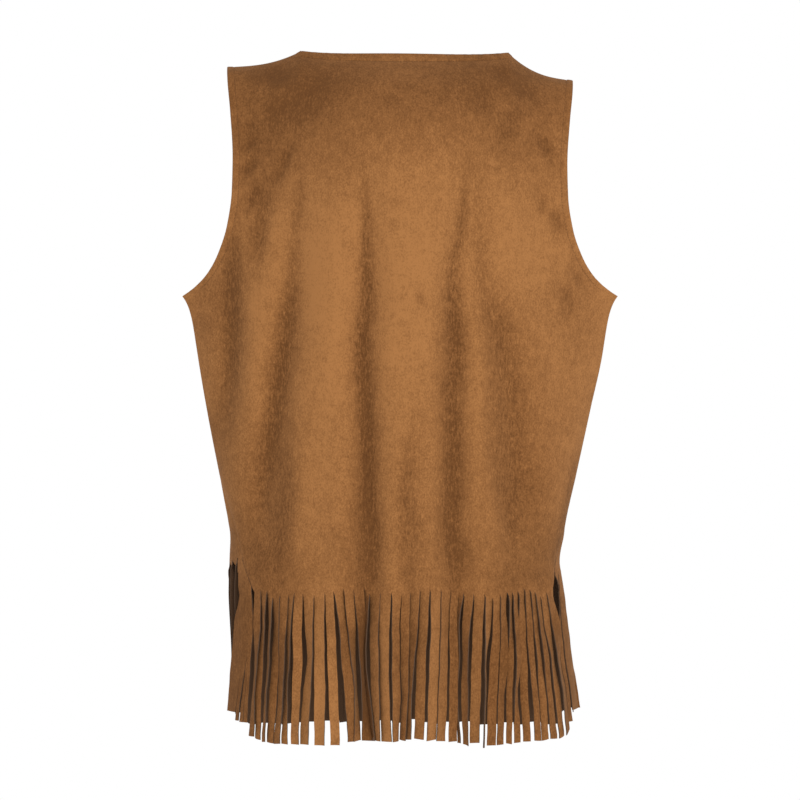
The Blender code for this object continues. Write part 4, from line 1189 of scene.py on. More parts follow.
class Shell:
    """Collects the points, faces, finishes and nap of one piece of cloth."""

    def __init__(self):
        self.points, self.nap, self.faces, self.finish = [], [], [], []
        self.count = 0

    def add_points(self, points, nap):
        """Keeps a grid of points and returns the grid of their numbers."""
        index = self.count + np.arange(points[..., 0].size).reshape(points.shape[:-1])
        self.points.append(points.reshape(-1, 3))
        self.nap.append(np.broadcast_to(nap, points.shape[:-1] + (2,)).reshape(-1, 2))
        self.count += index.size
        return index

    def add_faces(self, faces, finish):
        """Keeps faces, with one finish for all of them or one for each."""
        self.faces.extend(faces.tolist())
        self.finish.extend(np.broadcast_to(finish, len(faces)).tolist())

    def make(self, name, materials):
        """The finished piece, with its faces turned outwards."""
        mesh = bpy.data.meshes.new(name)
        mesh.from_pydata(np.concatenate(self.points).tolist(), [], self.faces)
        for material in materials:
            mesh.materials.append(material)
        mesh.polygons.foreach_set("material_index", self.finish)
        for name_of_layer, layer in zip(("shade_and_nap_bands", "shade_and_nap_tone"), np.concatenate(self.nap).T):
            mesh.attributes.new(name_of_layer, "FLOAT", "POINT").data.foreach_set("value", layer.copy())
        shape = bmesh.new()
        shape.from_mesh(mesh)
        bmesh.ops.recalc_face_normals(shape, faces=shape.faces)
        open_edges = sum(not edge.is_manifold for edge in shape.edges)
        shape.to_mesh(mesh)
        shape.free()
        mesh.shade_smooth()
        mesh.set_sharp_from_angle(angle=math.radians(SHARP_ANGLE))
        print(name, len(mesh.polygons), "faces,", open_edges, "open edges")
        return into_scene(name, mesh)


print("edges stay sharp over", SHARP_ANGLE, "degrees")

# %% From a panel's grids and strips to one shell
OUTSIDE, INSIDE, CUT = 0, 1, 2
INSIDE_NAP, RIM_PAINTED_HIGHLIGHT = 0.6, 0.1
Panel = namedtuple("Panel", "middle walls outer_off inner_off bulge nap hemmed edges")


def rim_path(rows, columns):
    """Rows and columns round a panel's rim: up its first column, along the top and down the last."""
    last_row, last_column = rows - 1, columns - 1
    path_rows = [*range(rows), *[last_row] * last_column, *range(rows - 2, -1, -1)]
    path_columns = [*[0] * rows, *range(1, columns), *[last_column] * last_row]
    return path_rows, path_columns


def sew_panel(name, panel, strips, spans, materials):
    """One closed piece: panel, rolled rims and strips grown from the bottom row."""
    shell = Shell()
    outer = shell.add_points(panel.middle + panel.walls * panel.outer_off[..., None], panel.nap)
    inner = shell.add_points(panel.middle - panel.walls * panel.inner_off[..., None], INSIDE_NAP)
    shell.add_faces(grid_faces(outer), OUTSIDE)
    turned_under = panel.hemmed[:-1, :-1].ravel()
    shell.add_faces(grid_faces(inner)[:, ::-1], np.where(turned_under, OUTSIDE, INSIDE))
    rim_at = rim_path(*outer.shape)
    # The rolled rims get a painted highlight: their nap is made lighter than the cloth beside them.
    rim_nap_with_highlight = np.maximum(panel.nap[rim_at] - RIM_PAINTED_HIGHLIGHT, 0)
    rim = shell.add_points(panel.middle[rim_at] + panel.bulge, rim_nap_with_highlight)
    shell.add_faces(ladder_faces(outer[rim_at], rim), OUTSIDE)
    shell.add_faces(ladder_faces(rim, inner[rim_at]), OUTSIDE)
    for end in (0, -1):
        shell.add_faces(np.array([[outer[0, end], rim[end], inner[0, end]]]), OUTSIDE)
    for (first, last), (points, walls, nap) in zip(spans, strips):
        columns = slice(first, last + 1)
        half = walls * STRIP_THICKNESS / 2
        outside = np.concatenate([outer[:1, columns], shell.add_points(points + half, nap)])
        inside = np.concatenate([inner[:1, columns], shell.add_points(points - half, INSIDE_NAP)])
        shell.add_faces(grid_faces(outside), OUTSIDE)
        shell.add_faces(grid_faces(inside)[:, ::-1], INSIDE)
        shell.add_faces(ladder_faces(outside[:, 0], inside[:, 0]), CUT)
        shell.add_faces(ladder_faces(inside[:, -1], outside[:, -1]), CUT)
        shell.add_faces(ladder_faces(outside[-1], inside[-1]), CUT)
    return shell.make(name, materials)


print("the rim of a panel of 3 x 3 points has", len(rim_path(3, 3)[0]), "points")

# %% [markdown]
# ## Finishes
#
# Four finishes are enough: the napped outside, the flat wrong side, the raw cut edge of the strips and
# the sewing thread. A photograph could be wrapped on as a texture, but it would carry its own light.
# Noise at five sizes, from the 7 cm clouds of a brushed pile to a 1.5 mm grain, breaks up the stored nap
# and its painted shade.

# %% New materials and their noises
def new_material(name):
    """A material with its node tree, its shader and object coordinates for its patterns."""
    material = bpy.data.materials.new(name)
    material.use_nodes = True
    tree = material.node_tree
    coordinates = tree.nodes.new("ShaderNodeTexCoord").outputs["Object"]
    return material, tree, tree.nodes["Principled BSDF"], coordinates


Noise = namedtuple("Noise", "scale detail stretch roughness", defaults=((1, 1, 1), 0.55))


def noise(tree, coordinates, sizes):
    """A noise texture on object coordinates, drawn out by its stretch; returns its value socket."""
    mapping = tree.nodes.new("ShaderNodeMapping")
    mapping.inputs["Scale"].default_value = sizes.stretch
    tree.links.new(coordinates, mapping.inputs["Vector"])
    texture = tree.nodes.new("ShaderNodeTexNoise")
    texture.inputs["Scale"].default_value = sizes.scale
    texture.inputs["Detail"].default_value = sizes.detail
    texture.inputs["Roughness"].default_value = sizes.roughness
    tree.links.new(mapping.outputs["Vector"], texture.inputs["Vector"])
    return texture.outputs["Fac"]


print("a noise is set by", ", ".join(Noise._fields))


# %% Values, colours and bumps of the finishes
def combine(tree, operation, first, second, third=None):
    """A math node; each input is a socket or a number."""
    node = tree.nodes.new("ShaderNodeMath")
    node.operation = operation
    for socket, value in zip(node.inputs, (first, second, third)):
        if value is None:
            continue
        if isinstance(value, (int, float)):
            socket.default_value = value
        else:
            tree.links.new(value, socket)
    return node.outputs[0]


def stored_value(tree, name):
    """A value that is stored on the points of the mesh."""
    node = tree.nodes.new("ShaderNodeAttribute")
    node.attribute_name = name
    return node.outputs["Fac"]


def colour_ramp(tree, amount, stops):
    """A colour for each amount, from a list of positions and colours."""
    ramp = tree.nodes.new("ShaderNodeValToRGB")
    while len(ramp.color_ramp.elements) < len(stops):
        ramp.color_ramp.elements.new(0.5)
    for element, (position, colour) in zip(ramp.color_ramp.elements, stops):
        element.position = position
        element.color = (*colour, 1)
    tree.links.new(amount, ramp.inputs["Fac"])
    return ramp.outputs["Color"]


def dress_shader(tree, shader, colour, height, bump_strength, bump_distance, **constants):
    """Links a colour and a bump to a shader, and sets its constant values by their names."""
    tree.links.new(colour, shader.inputs["Base Color"])
    bump = tree.nodes.new("ShaderNodeBump")
    bump.inputs["Strength"].default_value = bump_strength
    bump.inputs["Distance"].default_value = bump_distance
    tree.links.new(height, bump.inputs["Height"])
    tree.links.new(bump.outputs["Normal"], shader.inputs["Normal"])
    for name, value in constants.items():
        shader.inputs[name.replace("_", " ")].default_value = value


print("material helpers ready")

# %% The napped outside
# From the light nap to the deepest colour: the darker colours give the dark nap and the painted shade stored
# with it.
NAP_LIGHT = (0.268, 0.116, 0.0370)
NAP_AND_SHADE_MIDDLE = (0.180, 0.074, 0.0225)
NAP_AND_SHADE_DARK = (0.110, 0.043, 0.0120)
NAP_AND_SHADE_DEEP = (0.066, 0.024, 0.0065)
NAP_AND_SHADE_STOPS = ((0.0, NAP_LIGHT), (0.25, NAP_AND_SHADE_MIDDLE), (0.5, NAP_AND_SHADE_DARK), (1.0, NAP_AND_SHADE_DEEP))
SHEEN_COLOUR = (0.80, 0.48, 0.25, 1)
CLOUDS, CLOUDS_SHARE = Noise(15, 3), 0.40
SMUDGE, SMUDGE_SHARE = Noise(42, 4, (0.6, 1, 1.9), 0.60), 0.30
MOTTLE, MOTTLE_SHARE, MOTTLE_HEIGHT = Noise(130, 4, (1, 1, 0.7), 0.62), 0.75, 0.8
GRAIN, GRAIN_SHARE, GRAIN_HEIGHT = Noise(650, 2, (1, 1, 0.7), 0.65), 1.40, 0.6
RAGGED = Noise(460, 4, (1, 1, 0.30), 0.65)
BAND_RAGGED, TONE_RAGGED, BAND_IN_TONE = (3.0, -0.5), (1.2, 0.4), (-0.5, 1.0)
DARKNESS_OFFSET, DARKNESS_CONTRAST = 1.37, 0.5
NAP_BUMP, NAP_BUMP_DISTANCE = 0.45, 0.0008


def suede_outside():
    """Noise at several sizes breaking up the stored nap and painted shade, on a dull shader with a little
    sheen.
    """
    material, tree, shader, coordinates = new_material("suede_outside")
    bands, tone = stored_value(tree, "shade_and_nap_bands"), stored_value(tree, "shade_and_nap_tone")
    sizes = (CLOUDS, SMUDGE, MOTTLE, GRAIN, RAGGED)
    clouds, smudge, mottle, grain, ragged = (noise(tree, coordinates, size) for size in sizes)
    rough_bands = combine(tree, "MULTIPLY", bands, combine(tree, "MULTIPLY_ADD", ragged, *BAND_RAGGED))
    rough_tone = combine(tree, "MULTIPLY", tone, combine(tree, "MULTIPLY_ADD", ragged, *TONE_RAGGED))
    weaker = combine(tree, "MULTIPLY_ADD", tone, *BAND_IN_TONE)
    amount = combine(tree, "MULTIPLY_ADD", rough_bands, weaker, rough_tone)
    noises = ((clouds, CLOUDS_SHARE), (smudge, SMUDGE_SHARE), (mottle, MOTTLE_SHARE), (grain, GRAIN_SHARE))
    for texture, share in noises:
        amount = combine(tree, "MULTIPLY_ADD", texture, share, amount)
    amount = combine(tree, "MULTIPLY", combine(tree, "SUBTRACT", amount, DARKNESS_OFFSET), DARKNESS_CONTRAST)
    height = combine(tree, "MULTIPLY", mottle, MOTTLE_HEIGHT)
    height = combine(tree, "MULTIPLY_ADD", grain, GRAIN_HEIGHT, height)
    dress_shader(
        tree, shader, colour_ramp(tree, amount, NAP_AND_SHADE_STOPS), height, NAP_BUMP, NAP_BUMP_DISTANCE,
        Roughness=0.95, Specular_IOR_Level=0.10,
        Sheen_Weight=0.10, Sheen_Roughness=0.55, Sheen_Tint=SHEEN_COLOUR,
    )
    return material


outside = suede_outside()
print(outside.name, len(outside.node_tree.nodes), "nodes")

# %% The wrong side, the cut edge and the thread
BROAD, BROAD_SHARE, FINE_SHARE = Noise(30, 3), 0.5, 0.6
LIGHT_STOP, DARK_STOP = 0.3, 0.8
PLAIN_BUMP_DISTANCE, PLAIN_ROUGHNESS, PLAIN_SPECULAR = 0.0005, 0.92, 0.15


def plain_finish(name, light, dark, fine_sizes, bump_strength):
    """A dull two-tone finish with a fine noise, for the surfaces without a nap."""
    material, tree, shader, coordinates = new_material(name)
    fine, broad = noise(tree, coordinates, fine_sizes), noise(tree, coordinates, BROAD)
    amount = combine(tree, "MULTIPLY", fine, FINE_SHARE)
    amount = combine(tree, "MULTIPLY_ADD", broad, BROAD_SHARE, amount)
    colour = colour_ramp(tree, amount, ((LIGHT_STOP, light), (DARK_STOP, dark)))
    dress_shader(
        tree, shader, colour, fine, bump_strength, PLAIN_BUMP_DISTANCE,
        Roughness=PLAIN_ROUGHNESS, Specular_IOR_Level=PLAIN_SPECULAR,
    )
    return material


WRONG_SIDE_LIGHT, WRONG_SIDE_DARK = (0.085, 0.045, 0.024), (0.050, 0.026, 0.013)
CUT_EDGE_LIGHT, CUT_EDGE_DARK = (0.090, 0.052, 0.031), (0.050, 0.028, 0.016)
THREAD_LIGHT, THREAD_DARK = (0.160, 0.072, 0.026), (0.090, 0.038, 0.013)
BACKING, FIBRES, TWIST = Noise(900, 3, (1, 1, 1.6)), Noise(1200, 3), Noise(1500, 3)
CLOTH_BUMP, THREAD_BUMP = 0.3, 0.4
wrong_side = plain_finish("suede_wrong_side", WRONG_SIDE_LIGHT, WRONG_SIDE_DARK, BACKING, CLOTH_BUMP)
cut_edge = plain_finish("suede_cut_edge", CUT_EDGE_LIGHT, CUT_EDGE_DARK, FIBRES, CLOTH_BUMP)
thread = plain_finish("sewing_thread", THREAD_LIGHT, THREAD_DARK, TWIST, THREAD_BUMP)
cloth_finishes = (outside, wrong_side, cut_edge)
print([material.name for material in (wrong_side, cut_edge, thread)])

# %% [markdown]
# ## The back
#
# Now the steps come together for the first panel: lay the grid on the form, round it off, sink the
# folds, add the creases, find the walls, raise the hems, and hang the strips. The whole garment could be
# one mesh, but a back and two fronts, closed along shared seam lines, are what a maker would cut.

# %% Folding a panel
CREASE_EDGE_SHARE = 0.035


def folded_panel(points, share, folds, creases):
    """A panel's middle surface with its folds, and creases that fade out at the sides of the garment."""
    points = sunk_by_folds(points, share, folds)
    felt = sum(crease.depth * crease_trace(crease, points[..., 0], -points[..., 2]) for crease in creases)
    felt = felt * ease((1 - np.abs(share)) / CREASE_EDGE_SHARE)
    return points - grid_normals(points) * felt[..., None]


print("creases fade out over", CREASE_EDGE_SHARE, "of a panel at the sides")

# %% Hemming a panel
INNER_DIP, HEMMED_SHARE = 0.8, 0.5
FLAT_RIM, ROLLED_RIM = 0.0001, CLOTH_THICKNESS * 0.75
SHOULDER_WALL = np.array((0.0, 0.0, 1.0))


def wall_directions(middle, levels, seam_signs, on_shoulder):
    """Wall directions of a panel, shared with its neighbours along the seams."""
    walls = grid_normals(middle)
    walls[0] = levelled(walls[0])
    below = levels <= 0
    for column, sign in zip((0, -1), seam_signs):
        if sign:
            walls[below, column] = seam_walls(sign, -middle[below, column, 2])
    walls[-1, on_shoulder] = SHOULDER_WALL
    return walls


def rim_bulge(middle, free_sides, free_top):
    """How far each rim point rolls out past the edge: half a hem's thickness, or almost nothing."""
    first, last, top = (np.where(free, ROLLED_RIM, FLAT_RIM)[:, None] for free in (*free_sides, free_top))
    left = unit(middle[:, 0] - middle[:, 1]) * first
    right = unit(middle[:, -1] - middle[:, -2]) * last
    top = unit(middle[-1] - middle[-2]) * top
    return np.concatenate([left, top[1:-1], right[::-1]])


def hemmed_panel(middle, nap, levels, seam_signs, on_shoulder):
    """A panel with hems and seams; a side edge with a sign is sewn to its neighbour below the underarm."""
    edges = edge_distances(middle, levels, [bool(sign) for sign in seam_signs])
    open_neck = np.where(on_shoulder, 0.0, 1.0)[None, :]
    relief = open_neck * hem_relief(neck_hem(edges.top), edges.along_top)
    relief = relief + (1 - open_neck) * seam_relief(edges.top)
    backing = open_neck * hem_backing(neck_hem(edges.top))
    free_sides = []
    for sign, distance in zip(seam_signs, (edges.start, edges.end)):
        hemmed = underarm_step(levels) if sign else 1.0
        relief = relief + hemmed * hem_relief(distance, edges.along_side)
        relief = relief + (1 - hemmed) * seam_relief(distance)
        backing = np.maximum(backing, hemmed * hem_backing(distance))
        free_sides.append(levels > 0 if sign else np.ones(len(levels), bool))
    return Panel(
        middle=middle,
        walls=wall_directions(middle, levels, seam_signs, on_shoulder),
        outer_off=CLOTH_THICKNESS / 2 + relief,
        inner_off=CLOTH_THICKNESS / 2 + backing - np.minimum(relief, 0) * INNER_DIP,
        bulge=rim_bulge(middle, free_sides, ~on_shoulder),
        nap=nap,
        hemmed=backing > HEMMED_SHARE * HEM_EXTRA,
        edges=edges,
    )


print("hems roll out by", round(ROLLED_RIM * 1000, 2), "mm")

# %% Lay, fold and hem the back
RISE_REACH = 0.050


def with_uneven_slits(points, spans):
    """Lifts the bottom rows so that each slit starts at its own height."""
    cut_columns = [first for first, _ in spans] + [spans[-1][1]]
    rise = np.interp(np.arange(points.shape[1]), cut_columns, [cut.rise for cut in BACK_CUTS]) / 1000
    height = np.clip(1 - run_length(points, axis=0) / RISE_REACH, 0, 1)
    return points + (rise * height**2)[..., None] * (0.0, 0.0, 1.0)


back_share = np.abs(places_of_back)
back_smooth = softened(back_form(places_of_back, back_levels[:, None]), back_levels, back_share)
back_smooth = with_uneven_slits(back_smooth, back_spans)
back_middle = folded_panel(back_smooth, places_of_back, BACK_FOLDS, BACK_CREASES)
back_shade_and_nap = shade_and_nap_of(back_middle, BACK_FOLDS, BACK_CREASES, BACK_PATCHES)
columns_of_back = np.arange(back_middle.shape[1])
on_shoulder = (columns_of_back <= neck_columns[0]) | (columns_of_back >= neck_columns[1])
back_panel = hemmed_panel(back_middle, back_shade_and_nap, back_levels, (-1, 1), on_shoulder)
print("back middle surface", back_middle.shape, "nap up to", round(float(back_shade_and_nap.max()), 2))

# %% Hang the back's strips and sew the back
ROOT_DARKNESS_LOSS, SHADE_PACE = 0.3, 3


def hang_fringe(form, turns_at, root_points, root_shade_and_nap, strips, spans):
    """Points, walls, and nap with its painted shade, of every strip of one panel."""
    fall = np.linspace(0, 1, STRIP_ROWS + 1)[1:, None, None]
    hung = []
    for (first, last), strip in zip(spans, strips):
        columns = slice(first, last + 1)
        roots = root_points[columns]

        def turns_below(drops):
            return turns_at(columns, drops)

        between = isinstance(strip, CutStrip)
        grid = strip_grid(form, turns_below, roots, strip.longer, between and strip.follows_form)
        points, walls = (hang_between if between else hang_even)(form, grid, roots, strip)
        # A strip's shade is painted shade, added to the tone; the nap and shade of its root fade a little
        # down it.
        shade = (0.0, 1.0) * (strip.shade * ease(fall * SHADE_PACE))
        nap = root_shade_and_nap[columns] * (1 - ROOT_DARKNESS_LOSS * fall) + shade
        hung.append((points, walls, np.clip(nap, 0, 1)))
    return hung


def back_turns(columns, drops):
    """Strips of the back keep the turn that they have at their roots."""
    places = places_of_back[0, columns]
    return np.broadcast_to(places * np.where(places < 0, back_ends[-1], back_ends[1]), drops.shape)


back_roots = (back_middle[0], back_shade_and_nap[0])
back_strips = hang_fringe(back_fringe_form, back_turns, *back_roots, BACK_STRIPS, back_spans)
back_cloth = sew_panel("back_cloth", back_panel, back_strips, back_spans, cloth_finishes)

# %% [markdown]
# ## The fronts
#
# The fronts are hidden in the photograph and are finished plainly: the same cloth, hems and fringe, a V
# from the shoulders to the front edges, and folds like the back's. One side could be mirrored from the
# other, but the shoulders and the strips beside the seams differ, so one function makes each side in turn.

# %% Lay, fold, hem and sew a front
FRONT_FORM_TURNS = (0.6, 2.0)
WHOLE_SEAM_WIDTH = {"left": 0.0, "right": 0.009}


def sew_front(side):
    """The finished front of one side, with its panel for the stitch lines."""
    shoulder, places = SHOULDERS[side], places_of_front[side]
    sign = shoulder.sign
    smooth_form = softened(front_form(shoulder, places, front_levels[:, None]), front_levels, places)
    middle = folded_panel(smooth_form, places, FRONT_FOLDS, FRONT_CREASES)
    nap = shade_and_nap_of(middle, FRONT_FOLDS, FRONT_CREASES, FRONT_PATCHES)
    panel = hemmed_panel(middle, nap, front_levels, (0, sign), np.ones(middle.shape[1], bool))
    start, end = sorted(sign * turn for turn in FRONT_FORM_TURNS)
    form = FringeForm(start, end, front_ends, FRONT_FOLDS, False)
    spans = strip_spans(FRONT_WIDTHS[side])
    from_seam = panel.edges.end[0]
    reach, whole = from_seam[spans[EVEN_FRONT_STRIPS - 1][1]], WHOLE_SEAM_WIDTH[side]
    near_seam = np.clip((reach - from_seam) / (reach - whole), 0, 1)

    def turns_at(columns, drops):
        """Strips beside the side seam follow it down to the end of the back's edge."""
        root = 2 - places[0, columns] * (2 - front_ends[sign])
        return sign * (root + (seam_turn(sign, drops) - front_ends[sign]) * near_seam[columns])

    strips = hang_fringe(form, turns_at, middle[0], nap[0], FRONT_STRIPS[side], spans)
    return sew_panel(f"{side}_front_cloth", panel, strips, spans, cloth_finishes), panel


front_cloth, front_panel = {}, {}
for side in SHOULDERS:
    front_cloth[side], front_panel[side] = sew_front(side)

# %% [markdown]
# ## Topstitching
#
# One line of lockstitch holds every turned hem, about 7 mm in from the edge, or 10 mm at the neck. Each
# stitch is a short plump length of thread. It could be a bump in the material, but real thread stands up
# from its groove. Geometry Nodes suit such a thing: a path is cut into equal lengths and one small form is
# set on every point, turned along the path and away from the cloth.

# %% Paths of the stitch lines
STITCH_START_LEVEL, BACK_END_ROWS, FRONT_END_ROWS, NECK_END_COLUMNS = 0.02, 4, 2, 2


def side_path(panel, column, rows):
    """A stitch line down one column of a panel, with the direction away from the cloth."""
    outward = panel.walls[rows, column]
    return panel.middle[rows, column] + outward * panel.outer_off[rows, column][:, None], outward


def top_path(panel, columns, distance):
    """A stitch line that keeps its distance below the top edge."""
    outer = panel.middle + panel.walls * panel.outer_off[..., None]
    points, outward = [], []
    for column in columns:
        below = run_length(outer[::-1, column], axis=0)
        row = int(np.searchsorted(below, distance))
        part = (distance - below[row - 1]) / (below[row] - below[row - 1])
        upper, lower = outer[-row, column], outer[-row - 1, column]
        points.append(upper + (lower - upper) * part)
        outward.append(panel.walls[-row, column])
    return np.array(points), np.array(outward)


back_rows = np.flatnonzero(back_levels > STITCH_START_LEVEL)[:-BACK_END_ROWS]
front_rows = np.flatnonzero(front_levels > STITCH_START_LEVEL)[:-FRONT_END_ROWS]
edge_rows = np.arange(1, len(front_levels) - 1 - FRONT_END_ROWS)
neck_span = range(neck_columns[0] + NECK_END_COLUMNS, neck_columns[1] + 1 - NECK_END_COLUMNS)
stitch_lines = {
    "back_stitching": (
        side_path(back_panel, STITCH_STEP, back_rows),
        side_path(back_panel, -1 - STITCH_STEP, back_rows),
        top_path(back_panel, neck_span, NECK_STITCH_DISTANCE),
    )
}
for side, panel in front_panel.items():
    stitch_lines[f"{side}_front_stitching"] = (
        side_path(panel, STITCH_STEP, edge_rows),
        side_path(panel, -1 - STITCH_STEP, front_rows),
    )
print({name: len(lines) for name, lines in stitch_lines.items()}, "stitch lines")

# %% The stitching tree
STITCH_PITCH, STITCH_LENGTH, THREAD_RADIUS = 0.0031, 0.0025, 0.00027
STITCH_TILT, TILT_SEED = np.array((0.05, 0.04, 0.07)), 3
STITCH_SEGMENTS, STITCH_RINGS = 7, 5
TREE_SOCKETS = (
    ("Path", "INPUT", "Geometry"),
    ("Stitch pitch", "INPUT", "Float"),
    ("Stitch length", "INPUT", "Float"),
    ("Thread radius", "INPUT", "Float"),
    ("Thread", "INPUT", "Material"),
    ("Stitches", "OUTPUT", "Geometry"),
)


def stitching_tree():
    """Geometry Nodes: a stitch on every step of a path."""
    tree = bpy.data.node_groups.new("topstitching", "GeometryNodeTree")
    for name, way, kind in TREE_SOCKETS:
        tree.interface.new_socket(name, in_out=way, socket_type=f"NodeSocket{kind}")

    def node(kind, inputs, **settings):
        """A node's outputs; each input is linked to another node's socket or set to a value."""
        made = tree.nodes.new(kind)
        for setting, value in settings.items():
            setattr(made, setting, value)
        for name, value in inputs.items():
            if isinstance(value, bpy.types.NodeSocket):
                tree.links.new(value, made.inputs[name])
            else:
                made.inputs[name].default_value = value
        return made.outputs

    given = node("NodeGroupInput", {})
    curve = node("GeometryNodeMeshToCurve", {"Mesh": given["Path"]})
    pitch = {"Curve": curve["Curve"], "Length": given["Stitch pitch"]}
    steps = node("GeometryNodeResampleCurve", pitch, mode="LENGTH")

    tangent = node("GeometryNodeInputTangent", {})
    outward = node("GeometryNodeInputNamedAttribute", {"Name": "outward"}, data_type="FLOAT_VECTOR")
    along = node("FunctionNodeAlignRotationToVector", {"Vector": tangent["Tangent"]}, axis="X")
    raised = {"Rotation": along["Rotation"], "Vector": outward["Attribute"]}
    upright = node("FunctionNodeAlignRotationToVector", raised, axis="Z", pivot_axis="X")

    tilts = {"Min": -STITCH_TILT, "Max": STITCH_TILT, "Seed": TILT_SEED}
    uneven = node("FunctionNodeRandomValue", tilts, data_type="FLOAT_VECTOR")
    tilt = node("FunctionNodeEulerToRotation", {"Euler": uneven["Value"]})
    tilted = {"Rotation": upright["Rotation"], "Rotate By": tilt["Rotation"]}
    turned = node("FunctionNodeRotateRotation", tilted, rotation_space="LOCAL")

    sides = {"Segments": STITCH_SEGMENTS, "Rings": STITCH_RINGS, "Radius": 1.0}
    ball = node("GeometryNodeMeshUVSphere", sides)
    half = node("ShaderNodeMath", {0: given["Stitch length"], 1: 0.5}, operation="MULTIPLY")
    radius = given["Thread radius"]
    size = node("ShaderNodeCombineXYZ", {"X": half[0], "Y": radius, "Z": radius})
    shaped = node("GeometryNodeTransform", {"Geometry": ball["Mesh"], "Scale": size["Vector"]})

    row = {"Points": steps["Curve"], "Instance": shaped["Geometry"], "Rotation": turned["Rotation"]}
    placed = node("GeometryNodeInstanceOnPoints", row)
    real = node("GeometryNodeRealizeInstances", {"Geometry": placed["Instances"]})
    finished = node("GeometryNodeSetMaterial", {"Geometry": real["Geometry"], "Material": given["Thread"]})
    node("NodeGroupOutput", {"Stitches": finished["Geometry"]})
    return tree


topstitching = stitching_tree()
print(topstitching.name, len(topstitching.nodes), "nodes")

# %% Sew the stitch lines
THREAD_PROUD = 0.5
STITCH_SIZES = {
    "Stitch pitch": STITCH_PITCH,
    "Stitch length": STITCH_LENGTH,
    "Thread radius": THREAD_RADIUS,
    "Thread": thread,
}


def stitch_piece(name, lines):
    """Runs the stitching tree over a set of paths and keeps the result as a plain mesh."""
    points = np.concatenate([line for line, _ in lines])
    outward = np.concatenate([direction for _, direction in lines])
    edges, start = [], 0
    for line, _ in lines:
        edges += [(start + step, start + step + 1) for step in range(len(line) - 1)]
        start += len(line)
    path = bpy.data.meshes.new(f"{name}_path")
    path.from_pydata((points + outward * THREAD_RADIUS * THREAD_PROUD).tolist(), edges, [])
    path.attributes.new("outward", "FLOAT_VECTOR", "POINT").data.foreach_set("vector", outward.ravel())
    guide = into_scene(f"{name}_guide", path)
    sewing = guide.modifiers.new("topstitching", "NODES")
    sewing.node_group = topstitching
    for socket in topstitching.interface.items_tree:
        if socket.name in STITCH_SIZES:
            sewing[socket.identifier] = STITCH_SIZES[socket.name]
    graph = bpy.context.evaluated_depsgraph_get()
    mesh = bpy.data.meshes.new_from_object(guide.evaluated_get(graph))
    bpy.data.objects.remove(guide)
    mesh.name = name
    mesh.shade_smooth()
    print(name, len(mesh.polygons), "faces")
    return into_scene(name, mesh)


stitching = {name: stitch_piece(name, lines) for name, lines in stitch_lines.items()}

# %% [markdown]
# ## Riding on the frame
#
# Each shell stands for its CAD panel and the fringe below it, and rides on the garment's one body.

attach(back_cloth, "root")
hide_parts("back_panel", "back_fringe")
for side, cloth in front_cloth.items():
    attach(cloth, "root")
    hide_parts(f"{side}_front", f"{side}_fringe")
for piece in stitching.values():
    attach(piece, "root")
print("pieces", [piece.name for piece in (back_cloth, *front_cloth.values(), *stitching.values())])

# %% [markdown]
# ## Stage, light and camera
#
# The garment hangs as on a standing wearer, over a pale floor. The surroundings are plain white, so that
# it stands free from every side. A broad soft light falls on the back and a weaker one on the fronts.
# The camera is level with the middle of the garment and far away, as for a catalogue picture.

# %% Floor and surroundings
FLOOR_DROP, FLOOR_RADIUS, FLOOR_SIDES = 1.42, 2.6, 64
FLOOR_CLOUDS, FLOOR_ROUGHNESS = Noise(2, 2), 0.9
FLOOR_STOPS = ((0.3, (0.86, 0.86, 0.85)), (0.7, (0.82, 0.82, 0.81)))


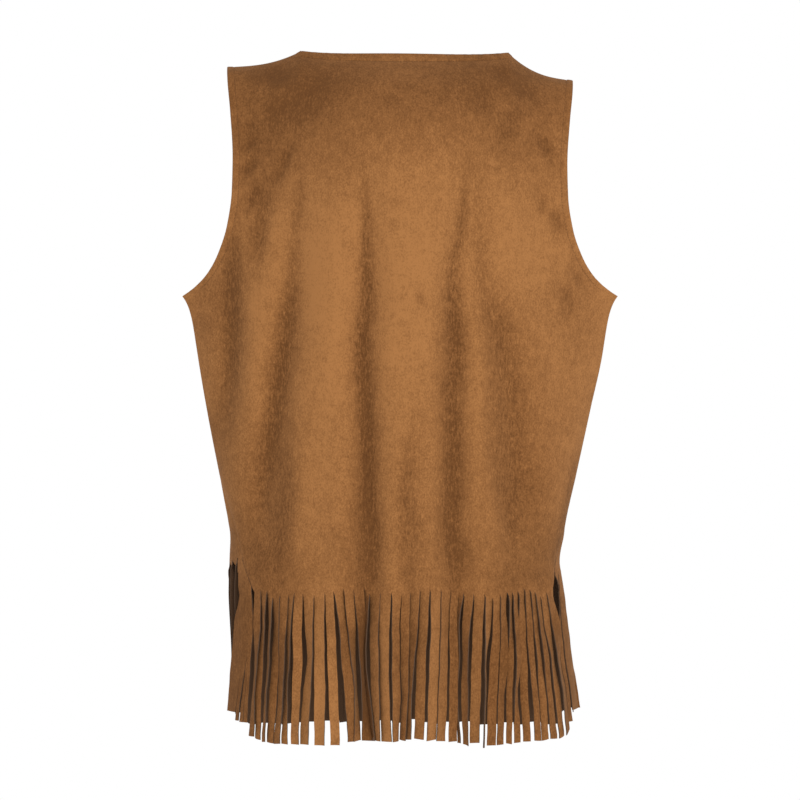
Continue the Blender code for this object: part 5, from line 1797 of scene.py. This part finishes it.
def pale_floor():
    """A round, faintly cloudy floor."""
    mesh = bpy.data.meshes.new("floor")
    angles = np.linspace(0, 2 * math.pi, FLOOR_SIDES, endpoint=False)
    ring = [(FLOOR_RADIUS * math.cos(a), FLOOR_RADIUS * math.sin(a), -FLOOR_DROP) for a in angles]
    mesh.from_pydata(ring, [], [tuple(range(FLOOR_SIDES))])
    material, tree, shader, coordinates = new_material("pale_floor")
    colour = colour_ramp(tree, noise(tree, coordinates, FLOOR_CLOUDS), FLOOR_STOPS)
    tree.links.new(colour, shader.inputs["Base Color"])
    shader.inputs["Roughness"].default_value = FLOOR_ROUGHNESS
    mesh.materials.append(material)
    return into_scene("floor", mesh)


pale_floor()
world = bpy.data.worlds.new("white_surroundings")
world.use_nodes = True
world.node_tree.nodes["Background"].inputs["Color"].default_value = (1, 1, 1, 1)
world.node_tree.nodes["Background"].inputs["Strength"].default_value = 1.0
bpy.context.scene.world = world
bpy.context.scene.view_settings.view_transform = "Standard"
print("floor", FLOOR_DROP, "m below the neck points")

# %% Soft lights
LIGHT_SIZE, LIGHT_TARGET = 1.6, np.array((0, 0, -0.42))
Light = namedtuple("Light", "name place power")
LIGHTS = (Light("key_light", (0.9, -3.0, -0.1), 62), Light("far_light", (-0.8, 3.0, 0.2), 40))


def soft_light(name, place, power):
    """A square light that is turned towards the middle of the garment."""
    light = bpy.data.lights.new(name, "AREA")
    light.shape, light.size, light.energy = "SQUARE", LIGHT_SIZE, power
    lamp = into_scene(name, light)
    direction = LIGHT_TARGET - np.array(place)
    yaw = math.atan2(direction[1], direction[0]) - math.pi / 2
    pitch = math.atan2(direction[2], math.hypot(direction[0], direction[1])) + math.pi / 2
    lamp.location, lamp.rotation_euler = place, (pitch, 0, yaw)


for light in LIGHTS:
    soft_light(*light)
print(len(LIGHTS), "soft lights of", LIGHT_SIZE, "m")

# %% Camera
CAMERA_DISTANCE, CAMERA_DROP, CAMERA_LENS, CAMERA_SENSOR = 3.6, 0.393, 142.5, 36.0

lens = bpy.data.cameras.new("catalogue_camera")
lens.lens, lens.sensor_width = CAMERA_LENS, CAMERA_SENSOR
camera = into_scene("catalogue_camera", lens)
camera.location = (0, -CAMERA_DISTANCE, -CAMERA_DROP)
camera.rotation_euler = (math.pi / 2, 0, 0)
bpy.context.scene.camera = camera
print("camera", CAMERA_DISTANCE, "m behind the wearer")
